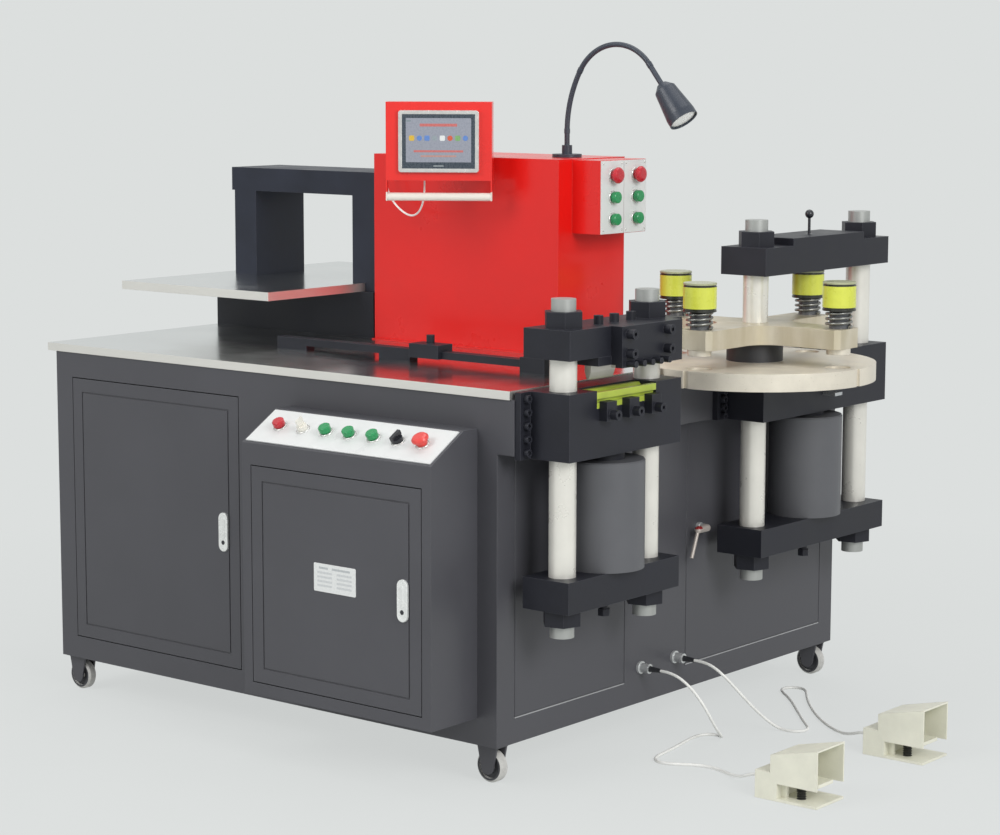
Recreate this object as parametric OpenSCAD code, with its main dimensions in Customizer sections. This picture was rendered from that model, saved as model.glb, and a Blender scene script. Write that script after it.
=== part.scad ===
// Busbar working machine: a wheeled cabinet that carries a bending press, a turret
// punching press and a shear, with a switch box, a screen, a work lamp and two foot switches.
// Millimetres, +Z up. The floor is z = 0 and the door side faces -Y.

/* [Cabinet] */
// Width of the cabinet body
cab_w = 1465; // [1390:5:1600]
// Depth of the cabinet body
cab_d = 1420; // [1410:5:1700]
// Height of the cabinet body
cab_h = 800; // [760:5:900]
// Height of the cabinet's underside above the floor
floor_gap = 90; // [86:1:110]
// Thickness of the cabinet sheet
sheet = 4; // [3:0.5:6]
// Thickness of the steel table plate
table_t = 20; // [14:1:30]
// Overhang of the table plate at the shear end
table_left = 28; // [10:1:60]
// Overhang of the table plate over the press side
table_right = 38; // [10:1:44]
// Overhang of the table plate at the door side
table_front = 4; // [0:1:20]
// Overhang of the table plate at the back
table_back = 28; // [10:1:60]
// Thickness of the rail that carries both presses
rail_t = 47; // [45:1:60]
// Height of the rail that carries both presses
rail_h = 125; // [110:1:160]
// Diameter of the wheels
wheel_d = 76; // [60:1:80]
// Width of the wheels
wheel_w = 26; // [20:1:34]
// Diameter of the wheel axles
axle_d = 12; // [8:1:16]

/* [Doors and switch box] */
// Width of the cabinet door
door_w = 594; // [450:1:640]
// Room between the cabinet door's upper edge and the cabinet's top
door_room = 66; // [50:1:240]
// Thickness of the door leaves
door_t = 18; // [12:1:25]
// Distance of the cabinet door from the shear end of the cabinet
door_x = 61; // [50:1:120]
// Height of the cabinet door above the cabinet's underside
door_z = 60; // [40:1:80]
// Gap round the door leaves
door_gap = 2.5; // [1.5:0.5:4]
// Width of the switch box
box_w = 580; // [520:1:600]
// Depth of the switch box in front of the cabinet
box_d = 161; // [130:1:200]
// Height of the switch box at its front edge
box_h = 599; // [560:1:640]
// Rise of the sloped control panel
slope_h = 67; // [40:1:75]
// Depth of the flat top behind the control panel
slope_back = 48; // [30:1:70]
// Distance of the switch box from the press side of the cabinet
box_x = 57; // [40:1:120]
// Height of the switch box above the cabinet's underside
box_z = 62; // [40:1:90]
// Width of the switch box door
box_door_w = 522; // [420:1:540]
// Height of the switch box door
box_door_h = 514; // [420:1:530]
// Diameter of the push button caps
cap_d = 29; // [24:1:32]
// Diameter of the mushroom heads
mushroom_d = 40; // [34:1:48]
// Diameter of the hole for each button
button_bore = 22.6; // [20:0.1:24]
// Travel of the push buttons
push_travel = 4; // [3:0.5:6]
// Distance between the controls on the sloped panel
control_pitch = 73; // [60:1:76]

/* [Press frames] */
// Diameter of the guide columns
column_d = 62; // [59:1:66]
// Diameter of the threaded column ends
thread_d = 56; // [48:1:58]
// Width of the column nuts across the flats
nut_af = 80; // [70:1:90]
// Height of the column nuts
nut_h = 37; // [28:1:45]
// Length of thread above each nut
thread_proud = 28; // [15:1:40]
// Distance of the column axes from the cabinet
column_x = 112; // [108:1:120]
// Depth of the beams and blocks in front of the rail
block_t = 125; // [118:1:140]
// Diameter of the press cylinders
cylinder_d = 184; // [150:1:200]
// Diameter of the piston rods
rod_d = 90; // [60:1:110]
// Running clearance of columns, rods and pistons, on the radius
run_gap = 0.06; // [0.02:0.01:0.1]

/* [Bending press] */
// Distance of the bending block from the door side
bend_y = 40; // [30:1:60]
// Length of the bending block and beams
bend_len = 423; // [400:1:430]
// Distance of the columns from the ends of the bending block
bend_inset = 54; // [50:1:60]
// Height of the bending block
bend_block_h = 151; // [130:1:170]
// Height of the bending block's top above the cabinet
bend_rise = 18; // [5:1:30]
// Height of the upper bending beam
bend_upper_h = 67; // [50:1:90]
// Open height between the bending block and the upper beam
bend_daylight = 74; // [70:1:90]
// Height of the lower bending beam
bend_lower_h = 73; // [50:1:90]
// Height of the bending cylinder
bend_cyl_h = 251; // [200:1:255]
// Room between the bending cylinder and its block
bend_neck = 18; // [10:1:60]
// Stroke of the bending press
bend_stroke = 40; // [20:1:42]
// Width of the bending die
die_len = 224; // [180:1:230]
// Height of the bending die
die_h = 36; // [28:1:45]

/* [Turret press] */
// Distance of the punching block from the door side
punch_y = 812; // [800:1:815]
// Length of the punching block and beams
punch_len = 572; // [560:1:580]
// Distance of the columns from the ends of the punching block
punch_inset = 48; // [44:1:55]
// Height of the punching block under the die disc
punch_block_h = 103; // [90:1:110]
// Diameter of the die disc
disc_d = 590; // [560:2:600]
// Thickness of the die disc
disc_t = 42; // [30:1:50]
// Distance of the punches from the turret axis
turret_r = 238; // [230:1:240]
// Height of the hub between disc and arm plate
hub_h = 47; // [40:1:60]
// Diameter of the hub
hub_d = 138; // [110:1:160]
// Thickness of the arm plate
arm_t = 47; // [36:1:55]
// Width of each turret arm
arm_w = 100; // [92:1:120]
// Length of each turret arm from the axis
arm_len = 268; // [262:1:285]
// Diameter of the punch sleeves
sleeve_d = 80; // [77:1:84]
// Height of the punch sleeves
sleeve_h = 69; // [60:1:80]
// Diameter of the punch shanks
shank_d = 46; // [36:1:50]
// Diameter of the punch tips
tip_d = 22; // [12:1:28]
// Stroke of the punching press
punch_stroke = 40; // [20:1:41]
// Height of the upper punching beam
punch_upper_h = 68; // [50:1:90]
// Height of the lower punching beam
punch_lower_h = 69; // [50:1:90]
// Height of the punching cylinder
punch_cyl_h = 254; // [200:1:258]
// Room between the punching cylinder and its block
punch_neck = 12; // [8:1:60]

/* [Shear and ruler] */
// Width of the shear base
shear_w = 578; // [560:1:582]
// Depth of the shear base
shear_d = 220; // [200:5:260]
// Height of the shear base
shear_h = 120; // [90:1:160]
// Distance of the shear base from the door side
shear_y = 606; // [602:1:640]
// Width of the shear posts
shear_post = 80; // [60:1:100]
// Open height under the shear's top beam
shear_daylight = 228; // [150:1:280]
// Height of the shear's top beam
shear_beam_h = 62; // [40:1:90]
// Stroke of the shear
shear_stroke = 26; // [10:1:30]
// Width of the work shelf
shelf_w = 538; // [480:1:560]
// Depth of the work shelf
shelf_d = 845; // [700:5:900]
// Thickness of the work shelf
shelf_t = 22; // [12:1:30]
// Length of the ruler bar
ruler_len = 860; // [600:5:900]
// Width of the ruler bar
ruler_w = 30; // [20:1:40]
// Thickness of the ruler bar
ruler_t = 18; // [12:1:24]

/* [Cover, screen and lamp] */
// Width of the cover
cover_w = 605; // [560:1:608]
// Depth of the cover
cover_d = 272; // [250:1:300]
// Height of the cover
cover_h = 483; // [450:1:560]
// Distance of the cover from the door side
cover_y = 598; // [580:1:600]
// Width of the screen housing
screen_w = 262; // [250:1:290]
// Height of the screen housing
screen_h = 193; // [180:1:220]
// Depth of the screen housing
screen_d = 66; // [50:1:80]
// Angle of the screen housing to the cover, in degrees
screen_turn = 36; // [0:1:40]
// Diameter of the lamp's neck
neck_d = 13; // [10:1:16]
// Diameter of the lamp's mouth
lamp_d = 74; // [50:1:90]

/* [Floor pieces] */
// Length of the foot switches
pedal_len = 162; // [140:1:200]
// Width of the foot switches
pedal_w = 114; // [100:1:140]
// Height of the foot switch hoods
pedal_h = 132; // [112:1:140]
// Thickness of the foot switch shells
pedal_wall = 4; // [3:0.5:6]
// Diameter of the foot switch cables
cable_d = 7; // [6:0.5:8]

/* [Hidden] */
$fn = 64;

// One overrun for every cut, and the small gaps between pieces
over = 1;
touch = 0.3;

// Levels
z_top = floor_gap + cab_h;
z_table = z_top + table_t;

// Doors
rebate_w = 16;
rebate_t = 3;
rebate_gap = 0.5;
groove_in = 33;
groove_w = 4;
groove_h = 2.5;
lock_w = 30;
lock_h = 96;
lock_t = 5;
lock_in = 52;
lock_drop_share = 0.5;
keyhole_d = 9;
door_left = door_x - cab_w;
door_low = floor_gap + door_z;
door_h = cab_h - door_z - door_room;
lock_z = door_low + door_h * lock_drop_share;

// Switch box
box_left = -box_x - box_w;
box_low = floor_gap + box_z;
box_front = box_low + box_h;
box_top = box_front + slope_h;
slope_run = box_d - slope_back;
slope_turn = atan2(slope_h, slope_run);
slope_len = sqrt(slope_h * slope_h + slope_run * slope_run);
box_door_left = box_left + (box_w - box_door_w) / 2;
box_door_share = 0.37;
box_door_low = box_low + (box_h - box_door_h) * box_door_share;
box_lock_z = box_door_low + box_door_h * lock_drop_share;
name_w = 128;
name_h = 65;
name_t = 1.5;
name_in = 199;
name_up = 245;
gear_w = 45;
gear_h = 78;
gear_d = 70;
gear_row_shares = [0.22, 0.5, 0.78];
gear_place_shares = [0.18, 0.3, 0.42, 0.54, 0.66, 0.78];
gear_plate = 3;

// Controls
plate_t = 2.5;
plate_in = 7;
ring_h = 2;
ring_rim = 3;
cap_h = 13;
mushroom_h = 12;
mushroom_neck = 14;
mushroom_shares = [0.42, 0.28, 0.85];
stem_gap = 0.3;
stem_d = button_bore - 2 * stem_gap;
stem_len = 24;
controls = 7;
control_first = 71;
key_d = 25;
key_h = 10;
key_blade_w = 3;
key_blade_l = 22;
key_blade_h = 20;
knob_d = 28;
knob_h = 9;
lever_w = 9;
lever_l = 32;
lever_h = 11;

// Press frames
block_x = rail_t;
block_far = rail_t + block_t;
beam_gap = 5;
seat = 0.05;
beam_x = block_x - beam_gap;
beam_t = block_t + beam_gap;
nut_turn = 12;
flange_bolt_count = 5;
bore_gap = 0.1;
column_bore = column_d + 2 * run_gap;
thread_bore = thread_d + 2 * bore_gap;
nut_d = nut_af / cos(30);
flange_t = 16;
flange_w = 36;
cyl_wall = 20;
cyl_floor = 12;
cyl_lid = 30;
cyl_rim = 2;
cyl_rim_h = 3;
piston_h = 46;
piston_lift = 3;
rod_bore = rod_d + 2 * run_gap;
socket_d = 22;
socket_h = 20;
flange_head_h = 12;
flange_head_d = 18;
socket_key = 11;
foot_bolt_d = 30;
foot_bolt_h = 16;
foot_shank_d = 20;
foot_shank_h = 26;

// Bending press
bend_top = z_top + bend_rise;
bend_low = bend_top - bend_block_h;
bend_up_low = bend_top + bend_daylight;
bend_up_top = bend_up_low + bend_upper_h;
bend_cyl_low = bend_low - bend_neck - bend_cyl_h;
bend_beam_low = bend_cyl_low - bend_lower_h;
bend_far = bend_y + bend_len;
bend_mid = bend_y + bend_len / 2;
bend_col_a = bend_y + bend_inset;
bend_col_b = bend_far - bend_inset;
die_t = 60;
die_x = block_far - die_t;
die_mid = die_x + die_t / 2;
die_y = bend_mid - die_len / 2;
die_sink = 4;
die_top = bend_top - die_sink;
die_low = die_top - die_h;
vee_w = 36;
vee_h = 20;
slot_w = 9;
slot_h = 8;
lug_w = 36;
lug_h = 44;
lug_t = 22;
lug_drop = 24;
lug_shares = [0.12, 0.5, 0.88];
lug_screw_share = 0.68;
tool_t = 31;
tool_drop = 26;
tool_len = 230;
tool_in = 42;
tool_y = bend_far - tool_len - tool_in;
holder_h = 20;
blade_t = 18;
blade_tip = 6;
blade_gap = 6;
blade_low = die_top - vee_h + blade_gap + bend_stroke;
blade_neck = 18;

// Turret press
disc_sink = 24;
disc_low = z_top - disc_sink;
disc_top = disc_low + disc_t;
punch_top = disc_low - touch;
punch_low = punch_top - punch_block_h;
punch_far = punch_y + punch_len;
punch_mid = punch_y + punch_len / 2;
turret_y = punch_y + punch_inset;
punch_col_b = punch_far - punch_inset;
arm_low = disc_top + hub_h;
arm_top = arm_low + arm_t;
sleeve_gap = 3;
sleeve_low = arm_top + punch_stroke + sleeve_gap;
sleeve_top = sleeve_low + sleeve_h;
beam_clear = 4;
punch_up_low = sleeve_top + beam_clear;
punch_up_top = punch_up_low + punch_upper_h;
slab_h = 18;
slab_len = 328;
punch_cyl_low = punch_low - punch_neck - punch_cyl_h;
punch_beam_low = punch_cyl_low - punch_lower_h;
pocket_gap = 6;
pocket_d = disc_d + 2 * pocket_gap;
tray_drop = 8;
tray_z = disc_low - tray_drop;
cheek_rise = 46;
cheek_gap = 12;
arm_fillet = 60;
arm_chamfer = 12;
hub_bore = column_d + 2 * touch;
die_play = 8;
die_bore_d = tip_d + die_play;
die_seat_d = 62;
die_seat_h = 5;
notch_w = 14;
notch_h = 6;
collar_d = 58;
collar_h = 15;
shank_gap = 0.05;
sleeve_wall = 5;
sleeve_cap = 9;
ring_groove = 1.2;
ring_groove_h = 4;
wire_d = 7;
coil_d = 59;
coil_turns = 8;
coil_sides = 8;
coil_steps = 12;
latch_w = 34;
latch_t = 8;
latch_len = 74;
latch_out = 36;
latch_gap = 0.2;
latch_drop = 62;
ball_d = 22;
knob_rod_d = 7;
knob_rod_h = 50;
knob_pin_d = 20;
knob_pin_h = 40;

// Shear and ruler
shear_over = 25;
shear_x = -cab_w - shear_over;
shear_top = z_table + shear_h;
shelf_top = shear_top + shelf_t;
shear_gap = 0.6;
shear_inset = 57;
shear_near_share = 1 / 8;
yoke_gap = 4;
yoke_lift = shear_stroke + yoke_gap;
yoke_head = 10;
yoke_d = 188;
shear_blade_t = 16;
shear_blade_h = 9;
shelf_x = -cab_w - table_left;
shelf_y = 257;
ruler_x = -950;
ruler_y = 284;
ruler_lift = 12;
ruler_z = z_table + ruler_lift;
foot_w = 100;
foot_shares = [0.0, 0.4];
end_w = 74;
end_d = 66;
end_h = 36;
stop_w = 92;
stop_d = 54;
stop_h = 16;
stop_gap = 0.3;
stop_share = 0.526;
stop_screw_d = 10;
stop_screw_h = 22;

// Cover, screen and lamp
cover_gap = 12;
cover_x = shear_x + shear_w + cover_gap;
cover_t = 3;
cover_lip = 12;
cover_top = z_table + cover_h;
pod_w = 87;
pod_d = 187;
pod_h = 181;
pod_y = 55;
pod_drop = 2;
pod_plate_w = 92;
pod_plate_h = 179;
pod_row = 54;
pod_low = cover_top - pod_drop - pod_h;
pivot_share = 0.496;
pivot_x = cover_x + pivot_share * cover_w;
pivot_out = 84;
pivot_d = 20;
pivot_gap = 0.1;
pivot_arm_w = 26;
pivot_arm_t = 10;
screen_t = 3;
screen_below = 54;
screen_z = cover_top - screen_below;
screen_drop = 40;
bar_d = 20;
glass_w = 199;
glass_h = 152;
glass_t = 9;
glass_back_w = 183;
glass_back_h = 136;
glass_back_d = 34;
boss_d = 34;
lamp_shares = [0.868, 0.504];
lamp_x = cover_x + lamp_shares[0] * cover_w;
lamp_y = cover_y + lamp_shares[1] * cover_d;
lamp_base_w = 74;
lamp_base_h = 8;
lamp_base_boss = 26;
lamp_foot_h = 22;
neck_rise = 57;
neck_bend_a = 300;
neck_turn_a = 30;
neck_bend_b = 128;
neck_turn_b = 112;
neck_end = 60;
lamp_len = 108;
lamp_tail_d = 26;
lamp_rear_d = 54;
lamp_wall = 2.5;
lamp_rear_len = 16;
lamp_lens_in = 6;
lamp_rim = 18;
ferrule_h = 12;
ferrule_t = 1;

// Fittings on the press side
plug_front_y = 549;
plug_rear_y = 691;
plug_y = [plug_front_y, plug_rear_y];
plug_z = 178;
plug_ring_d = 31;
plug_ring_h = 6;
plug_body_d = 24;
plug_body_h = 24;
plug_boot_d = 15;
plug_boot_h = 32;
plug_tip_d = 10;
tap_y = 790;
tap_z = 490;
tap_d = 18;
tap_len = 26;
tap_collar_d = 23;
tap_collar_h = 8;
tap_pipe_d = 9;
tap_pipe_len = 72;
tap_body_len = 38;
tap_lean = 22;
seam_w = 4;
seam_h = 1.5;
panel_edge = 62;
panel_low = 58;
panel_a = 486;
panel_b = 737;

// Casters
fork_t = 5;
fork_w = 58;
fork_plate = 6;
fork_gap = 2;
fork_nose = 18;
caster_in_x = 40;
caster_in_y = 34;
axle_gap = 0.1;
axle_z = wheel_d / 2;
hub_wide = wheel_w + 2 * fork_gap - 2 * touch;
tread_r = 5;

// Power pack inside the cabinet
tank_w = 620;
tank_d = 420;
tank_h = 300;
tank_x = -900;
tank_y = 560;
tank_lid = 12;
motor_share = 0.68;
valve_share = 0.12;
tank_rim = 15;
motor_d = 190;
motor_h = 230;
motor_foot_d = 230;
motor_foot_h = 14;
motor_fan_d = 176;
motor_fan_h = 50;
motor_fins = 18;
fin_w = 4;
fin_h = 10;
fin_end = 8;
valve_w = 180;
valve_d = 90;
valve_h = 100;
coil_w = 44;
valve_coils = 3;
coil_pitch = valve_w / valve_coils;
coil_h = 70;

// Foot switches
pedal_x = 492;
pedal_front_y = 369;
pedal_rear_y = 833;
pedal_mids = [pedal_front_y, pedal_rear_y];
pedal_ys = [for (y = pedal_mids) y - pedal_w / 2];
pedal_base_t = 6;
pedal_back_len = 58;
pedal_back_h = 64;
pedal_hood_from = 40;
pedal_slot_h = 40;
treadle_w = 62;
treadle_t = 8;
treadle_z = 40;
treadle_pin_d = 8;
treadle_x = pedal_back_len + treadle_pin_d;
treadle_in = 12;
treadle_len = pedal_len - treadle_x - treadle_in;
treadle_ear_t = 6;
treadle_gap = 0.4;
gland_d = 18;
gland_len = 22;
gland_tip_d = 11;
gland_z = 34;

// Where the whole part sits: the middle of its outline is the origin
x_low = -cab_w - table_left;
x_high = pedal_x + pedal_len;
y_low = -box_d - lock_t;
y_high = cab_d + table_back;
shift_x = -(x_low + x_high) / 2;
shift_y = -(y_low + y_high) / 2;

// Cable routes: leading points in the cabinet's own coordinates, eased into a smooth run
ease_share = 2 / 3;
function eased(c) = [for (k = [0 : len(c) - 1]) k == 0 || k == len(c) - 1 ? c[k]
  : ease_share * c[k] + (1 - ease_share) / 2 * (c[k - 1] + c[k + 1])];
front_route = eased([
  [62, 549, 178], [84, 549, 178], [112, 550, 172], [138, 556, 154], [160, 567, 126],
  [173, 584, 92], [176, 608, 56], [171, 638, 27], [164, 670, 5], [139, 688, 4], [110, 678, 4],
  [101, 644, 4], [107, 600, 4], [117, 552, 4], [126, 500, 4], [131, 458, 4], [137, 422, 4],
  [158, 396, 4], [194, 398, 4], [230, 424, 4], [270, 441, 4], [312, 436, 4], [350, 416, 5],
  [388, 394, 10], [422, 377, 21], [448, 369, 34], [470, 369, 34]
]);
rear_route = eased([
  [62, 691, 178], [84, 691, 178], [112, 690, 174], [140, 693, 158], [162, 706, 132],
  [176, 734, 98], [186, 770, 62], [198, 804, 30], [218, 828, 6], [250, 828, 4], [276, 840, 4],
  [282, 868, 4], [262, 896, 4], [228, 930, 4], [188, 976, 4], [146, 1024, 4], [104, 1072, 4],
  [62, 1116, 4], [24, 1148, 4], [2, 1176, 4], [14, 1210, 4], [50, 1216, 4], [76, 1184, 4],
  [106, 1138, 4], [146, 1086, 4], [190, 1034, 4], [238, 984, 4], [288, 940, 4], [336, 906, 4],
  [382, 872, 10], [420, 846, 22], [448, 833, 34], [470, 833, 34]
]);
// The screen's lead runs from the housing's underside to the cover, from the pivot's foot
lead_route = eased([
  [-17, -128, -0.4], [-18, -127, -16], [-21, -125, -38], [-32, -118, -62], [-54, -105, -82],
  [-84, -86, -93], [-116, -66, -97], [-148, -50, -94], [-178, -42, -82], [-203, -40, -62],
  [-219, -40, -36], [-226, -36, -10], [-227, -20, 6], [-226, 0, 8]
]);
cable_sides = 8;
lead_d = 5;
straight_up = [0, 0, 1];
loop_side = [0.7, 0.71, 0];

function unit(v) = v / norm(v);
function heading(p, i) = unit(p[min(i + 1, len(p) - 1)] - p[max(i - 1, 0)]);
function ring(c, d, r, n, up) =
  let (u = unit(cross(d, up)), v = cross(u, d))
  [for (k = [0 : n - 1]) c + r * (cos(360 * k / n) * u + sin(360 * k / n) * v)];

// A closed round tube along a route of points
module tube(p, d, n, up) {
  m = len(p);
  pts = [for (i = [0 : m - 1]) each ring(p[i], heading(p, i), d / 2, n, up)];
  walls = [for (i = [0 : m - 2]) for (k = [0 : n - 1])
    [i * n + k, i * n + (k + 1) % n, (i + 1) * n + (k + 1) % n, (i + 1) * n + k]];
  ends = [[for (k = [0 : n - 1]) n - 1 - k], [for (k = [0 : n - 1]) (m - 1) * n + k]];
  polyhedron(pts, concat(walls, ends), convexity = 8);
}

module placed() translate([shift_x, shift_y, 0]) children();

// A frame of a groove or rim: a plate less its middle
module frame_bar(w, h, t, rim) difference() {
  cube([w, t, h]);
  translate([rim, -over, rim]) cube([w - 2 * rim, t + 2 * over, h - 2 * rim]);
}

// A round bar along +X or +Y, and a cone along +X
module bar_x(d, h) rotate([0, 90, 0]) cylinder(d = d, h = h);
module bar_y(d, h) rotate([-90, 0, 0]) cylinder(d = d, h = h);
module cone_x(from, to, h) rotate([0, 90, 0]) cylinder(d1 = from, d2 = to, h = h);

// Cabinet

// Rebate that a door leaf closes on, with its opening cut by door_hole
module door_rebate(w, h, y) translate([-door_gap - rebate_w, y, -door_gap - rebate_w])
  cube([w + 2 * (door_gap + rebate_w), door_t + rebate_gap + rebate_t, h + 2 * (door_gap + rebate_w)]);

module door_hole(w, h, y) {
  translate([-door_gap, y - over, -door_gap])
    cube([w + 2 * door_gap, door_t + rebate_gap + over, h + 2 * door_gap]);
  translate([rebate_w, y - over, rebate_w])
    cube([w - 2 * rebate_w, door_t + rebate_t + rebate_gap + 2 * over, h - 2 * rebate_w]);
}

// A door leaf with its pressed line and flush lock
module door_leaf(w, h, lock_at) {
  difference() {
    cube([w, door_t, h]);
    translate([groove_in, -over, groove_in])
      frame_bar(w - 2 * groove_in, h - 2 * groove_in, groove_h + over, groove_w);
  }
  translate([w - lock_in, 0, lock_at]) difference() {
    rotate([90, 0, 0]) linear_extrude(lock_t) {
      square([lock_w, lock_h - lock_w], center = true);
      for (s = [-1, 1]) translate([0, s * (lock_h - lock_w) / 2]) circle(d = lock_w);
    }
    translate([0, -lock_t - over, -(lock_h - lock_w) / 2]) bar_y(keyhole_d, lock_t / 2 + over);
  }
}

module seam_loop(y, w) translate([over, y, floor_gap + panel_low]) rotate([0, 0, 90])
  frame_bar(w, z_top - rail_h - floor_gap - panel_low - seam_w, seam_h + over, seam_w);

module cabinet_shell() color("dimgray") placed() difference() {
  union() {
    difference() {
      translate([-cab_w, 0, floor_gap]) cube([cab_w, cab_d, cab_h]);
      translate([sheet - cab_w, sheet, floor_gap + sheet])
        cube([cab_w - 2 * sheet, cab_d - 2 * sheet, cab_h - 2 * sheet]);
    }
    intersection() {
      translate([-cab_w, 0, floor_gap]) cube([cab_w, cab_d, cab_h]);
      translate([column_x, turret_y, tray_z - sheet])
        cylinder(d = pocket_d + 2 * sheet, h = z_top - tray_z + sheet, $fn = 128);
    }
    translate([-sheet, 0, z_top - rail_h]) cube([rail_t + sheet, cab_d, rail_h]);
    translate([door_left, 0, door_low]) door_rebate(door_w, door_h, 0);
  }
  translate([column_x, turret_y, tray_z]) cylinder(d = pocket_d, h = z_top, $fn = 128);
  translate([door_left, 0, door_low]) door_hole(door_w, door_h, 0);
  seam_loop(panel_edge, panel_a - panel_edge);
  seam_loop(panel_b, cab_d - panel_edge - panel_b);
}

module table_plate() color("silver") placed() difference() {
  translate([-cab_w - table_left, -table_front, z_top])
    cube([cab_w + table_left + table_right, cab_d + table_front + table_back, table_t]);
  translate([column_x, turret_y, z_top - over])
    cylinder(d = pocket_d, h = table_t + 2 * over, $fn = 128);
}

module cabinet_door() color("dimgray") placed()
  translate([door_left, 0, door_low]) door_leaf(door_w, door_h, lock_z - door_low);

// Casters

module at_casters(xs) for (x = xs) for (y = [caster_in_y, cab_d - caster_in_y]) translate([x, y, 0])
  children();

module fork() {
  translate([-fork_w / 2, -wheel_w / 2 - fork_gap - fork_t, floor_gap - fork_plate])
    cube([fork_w, wheel_w + 2 * (fork_gap + fork_t), fork_plate]);
  for (s = [-1, 1]) translate([0, s * (wheel_w / 2 + fork_gap + fork_t / 2), 0])
    rotate([90, 0, 0]) linear_extrude(fork_t, center = true) {
      polygon([[-fork_w / 2, floor_gap], [fork_w / 2, floor_gap], [fork_nose, axle_z],
        [-fork_nose, axle_z]]);
      translate([0, axle_z]) circle(r = fork_nose);
    }
  translate([0, -wheel_w / 2 - fork_gap - fork_t, axle_z])
    bar_y(axle_d, wheel_w + 2 * (fork_gap + fork_t));
}

module caster_forks() color("dimgray") placed()
  at_casters([caster_in_x - cab_w, -caster_in_x]) fork();

module wheel() translate([0, 0, axle_z]) rotate([90, 0, 0]) rotate_extrude($fn = 96) {
  polygon([[axle_d / 2 + axle_gap, -hub_wide / 2], [axle_d, -hub_wide / 2], [axle_d, -wheel_w / 4],
    [wheel_d / 2 - tread_r * 2, -wheel_w / 4], [wheel_d / 2 - tread_r * 2, -wheel_w / 2],
    [wheel_d / 2 - tread_r, -wheel_w / 2], [wheel_d / 2, tread_r - wheel_w / 2],
    [wheel_d / 2, wheel_w / 2 - tread_r], [wheel_d / 2 - tread_r, wheel_w / 2],
    [wheel_d / 2 - tread_r * 2, wheel_w / 2], [wheel_d / 2 - tread_r * 2, wheel_w / 4],
    [axle_d, wheel_w / 4], [axle_d, hub_wide / 2], [axle_d / 2 + axle_gap, hub_wide / 2]]);
}

module wheels_right() color("gainsboro") placed() at_casters([-caster_in_x]) wheel();
module wheels_left() color("gainsboro") placed() at_casters([caster_in_x - cab_w]) wheel();

// Switch box

module box_profile() polygon([[0, box_low], [-box_d, box_low], [-box_d, box_front],
  [-slope_back, box_top], [0, box_top]]);

module box_hollow() polygon([[-sheet, box_low + sheet], [sheet - box_d, box_low + sheet],
  [sheet - box_d, box_front + sheet * tan(slope_turn) - sheet / cos(slope_turn)],
  [(slope_h - sheet + sheet / cos(slope_turn)) / tan(slope_turn) - box_d, box_top - sheet],
  [-sheet, box_top - sheet]]);

// Local frame on the sloped panel: +Z points out of the panel
module on_slope(x) translate([x, slope_run / 2 - box_d, box_front + slope_h / 2])
  rotate([slope_turn, 0, 0]) children();
module at_control(i) on_slope(box_left + control_first + i * control_pitch) children();

gear_y = -sheet - gear_plate - seat;

module switch_box() color("dimgray") placed() {
  difference() {
    union() {
      difference() {
        translate([box_left, 0, 0]) rotate([90, 0, 90]) linear_extrude(box_w) box_profile();
        translate([box_left + sheet, 0, 0]) rotate([90, 0, 90])
          linear_extrude(box_w - 2 * sheet) box_hollow();
      }
      translate([box_door_left, -box_d, box_door_low]) door_rebate(box_door_w, box_door_h, 0);
    }
    translate([box_door_left, -box_d, box_door_low]) door_hole(box_door_w, box_door_h, 0);
    for (i = [0 : controls - 1]) at_control(i) translate([0, 0, -stem_len])
      cylinder(d = button_bore, h = 2 * stem_len);
  }
  for (r = gear_row_shares)
    translate([box_door_left + rebate_w, gear_y, box_door_low + r * box_door_h])
      cube([box_door_w - 2 * rebate_w, gear_plate, gear_h / 2]);
  for (r = gear_row_shares) for (p = gear_place_shares)
    translate([box_door_left + p * box_door_w, gear_y - gear_d, box_door_low + r * box_door_h - gear_h / 4])
      cube([gear_w, gear_d, gear_h]);
}

module switch_box_door() color("dimgray") placed() translate([box_door_left, -box_d, box_door_low]) {
  door_leaf(box_door_w, box_door_h, box_lock_z - box_door_low);
  translate([name_in, -name_t, name_up]) cube([name_w, name_t, name_h]);
}

// Controls

module button_ring() translate([0, 0, plate_t]) difference() {
  cylinder(d = cap_d + ring_rim, h = ring_h);
  translate([0, 0, -over]) cylinder(d = button_bore, h = ring_h + 2 * over);
}

cap_seat = plate_t + ring_h + touch;

module stem(top) translate([0, 0, -stem_len]) cylinder(d = stem_d, h = stem_len + top);

module push_cap() {
  stem(cap_seat + push_travel);
  translate([0, 0, cap_seat + push_travel]) rotate_extrude()
    polygon([[0, 0], [cap_d / 2, 0], [cap_d / 2, cap_h - ring_h], [cap_d / 2 - ring_h, cap_h],
      [0, cap_h]]);
}

module mushroom_cap() {
  stem(cap_seat + push_travel);
  translate([0, 0, cap_seat + push_travel]) {
    cylinder(d = mushroom_neck * 2, h = mushroom_neck / 2);
    translate([0, 0, mushroom_neck / 2]) rotate_extrude() polygon([[0, 0], [mushroom_d / 2 - ring_h, 0],
      [mushroom_d / 2, ring_h], [mushroom_d / 2, mushroom_h / 2],
      [mushroom_d * mushroom_shares[0], mushroom_h * mushroom_shares[2]],
      [mushroom_d * mushroom_shares[1], mushroom_h], [0, mushroom_h]]);
  }
}

module key_lock() {
  stem(cap_seat);
  translate([0, 0, cap_seat]) {
    cylinder(d = key_d, h = key_h);
    translate([-key_blade_w / 2, -key_blade_l / 2, key_h]) cube([key_blade_w, key_blade_l, key_blade_h]);
  }
}

module turn_knob() {
  stem(cap_seat);
  translate([0, 0, cap_seat]) {
    cylinder(d = knob_d, h = knob_h);
    translate([-lever_w / 2, -lever_l / 2, knob_h]) cube([lever_w, lever_l, lever_h]);
  }
}

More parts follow.
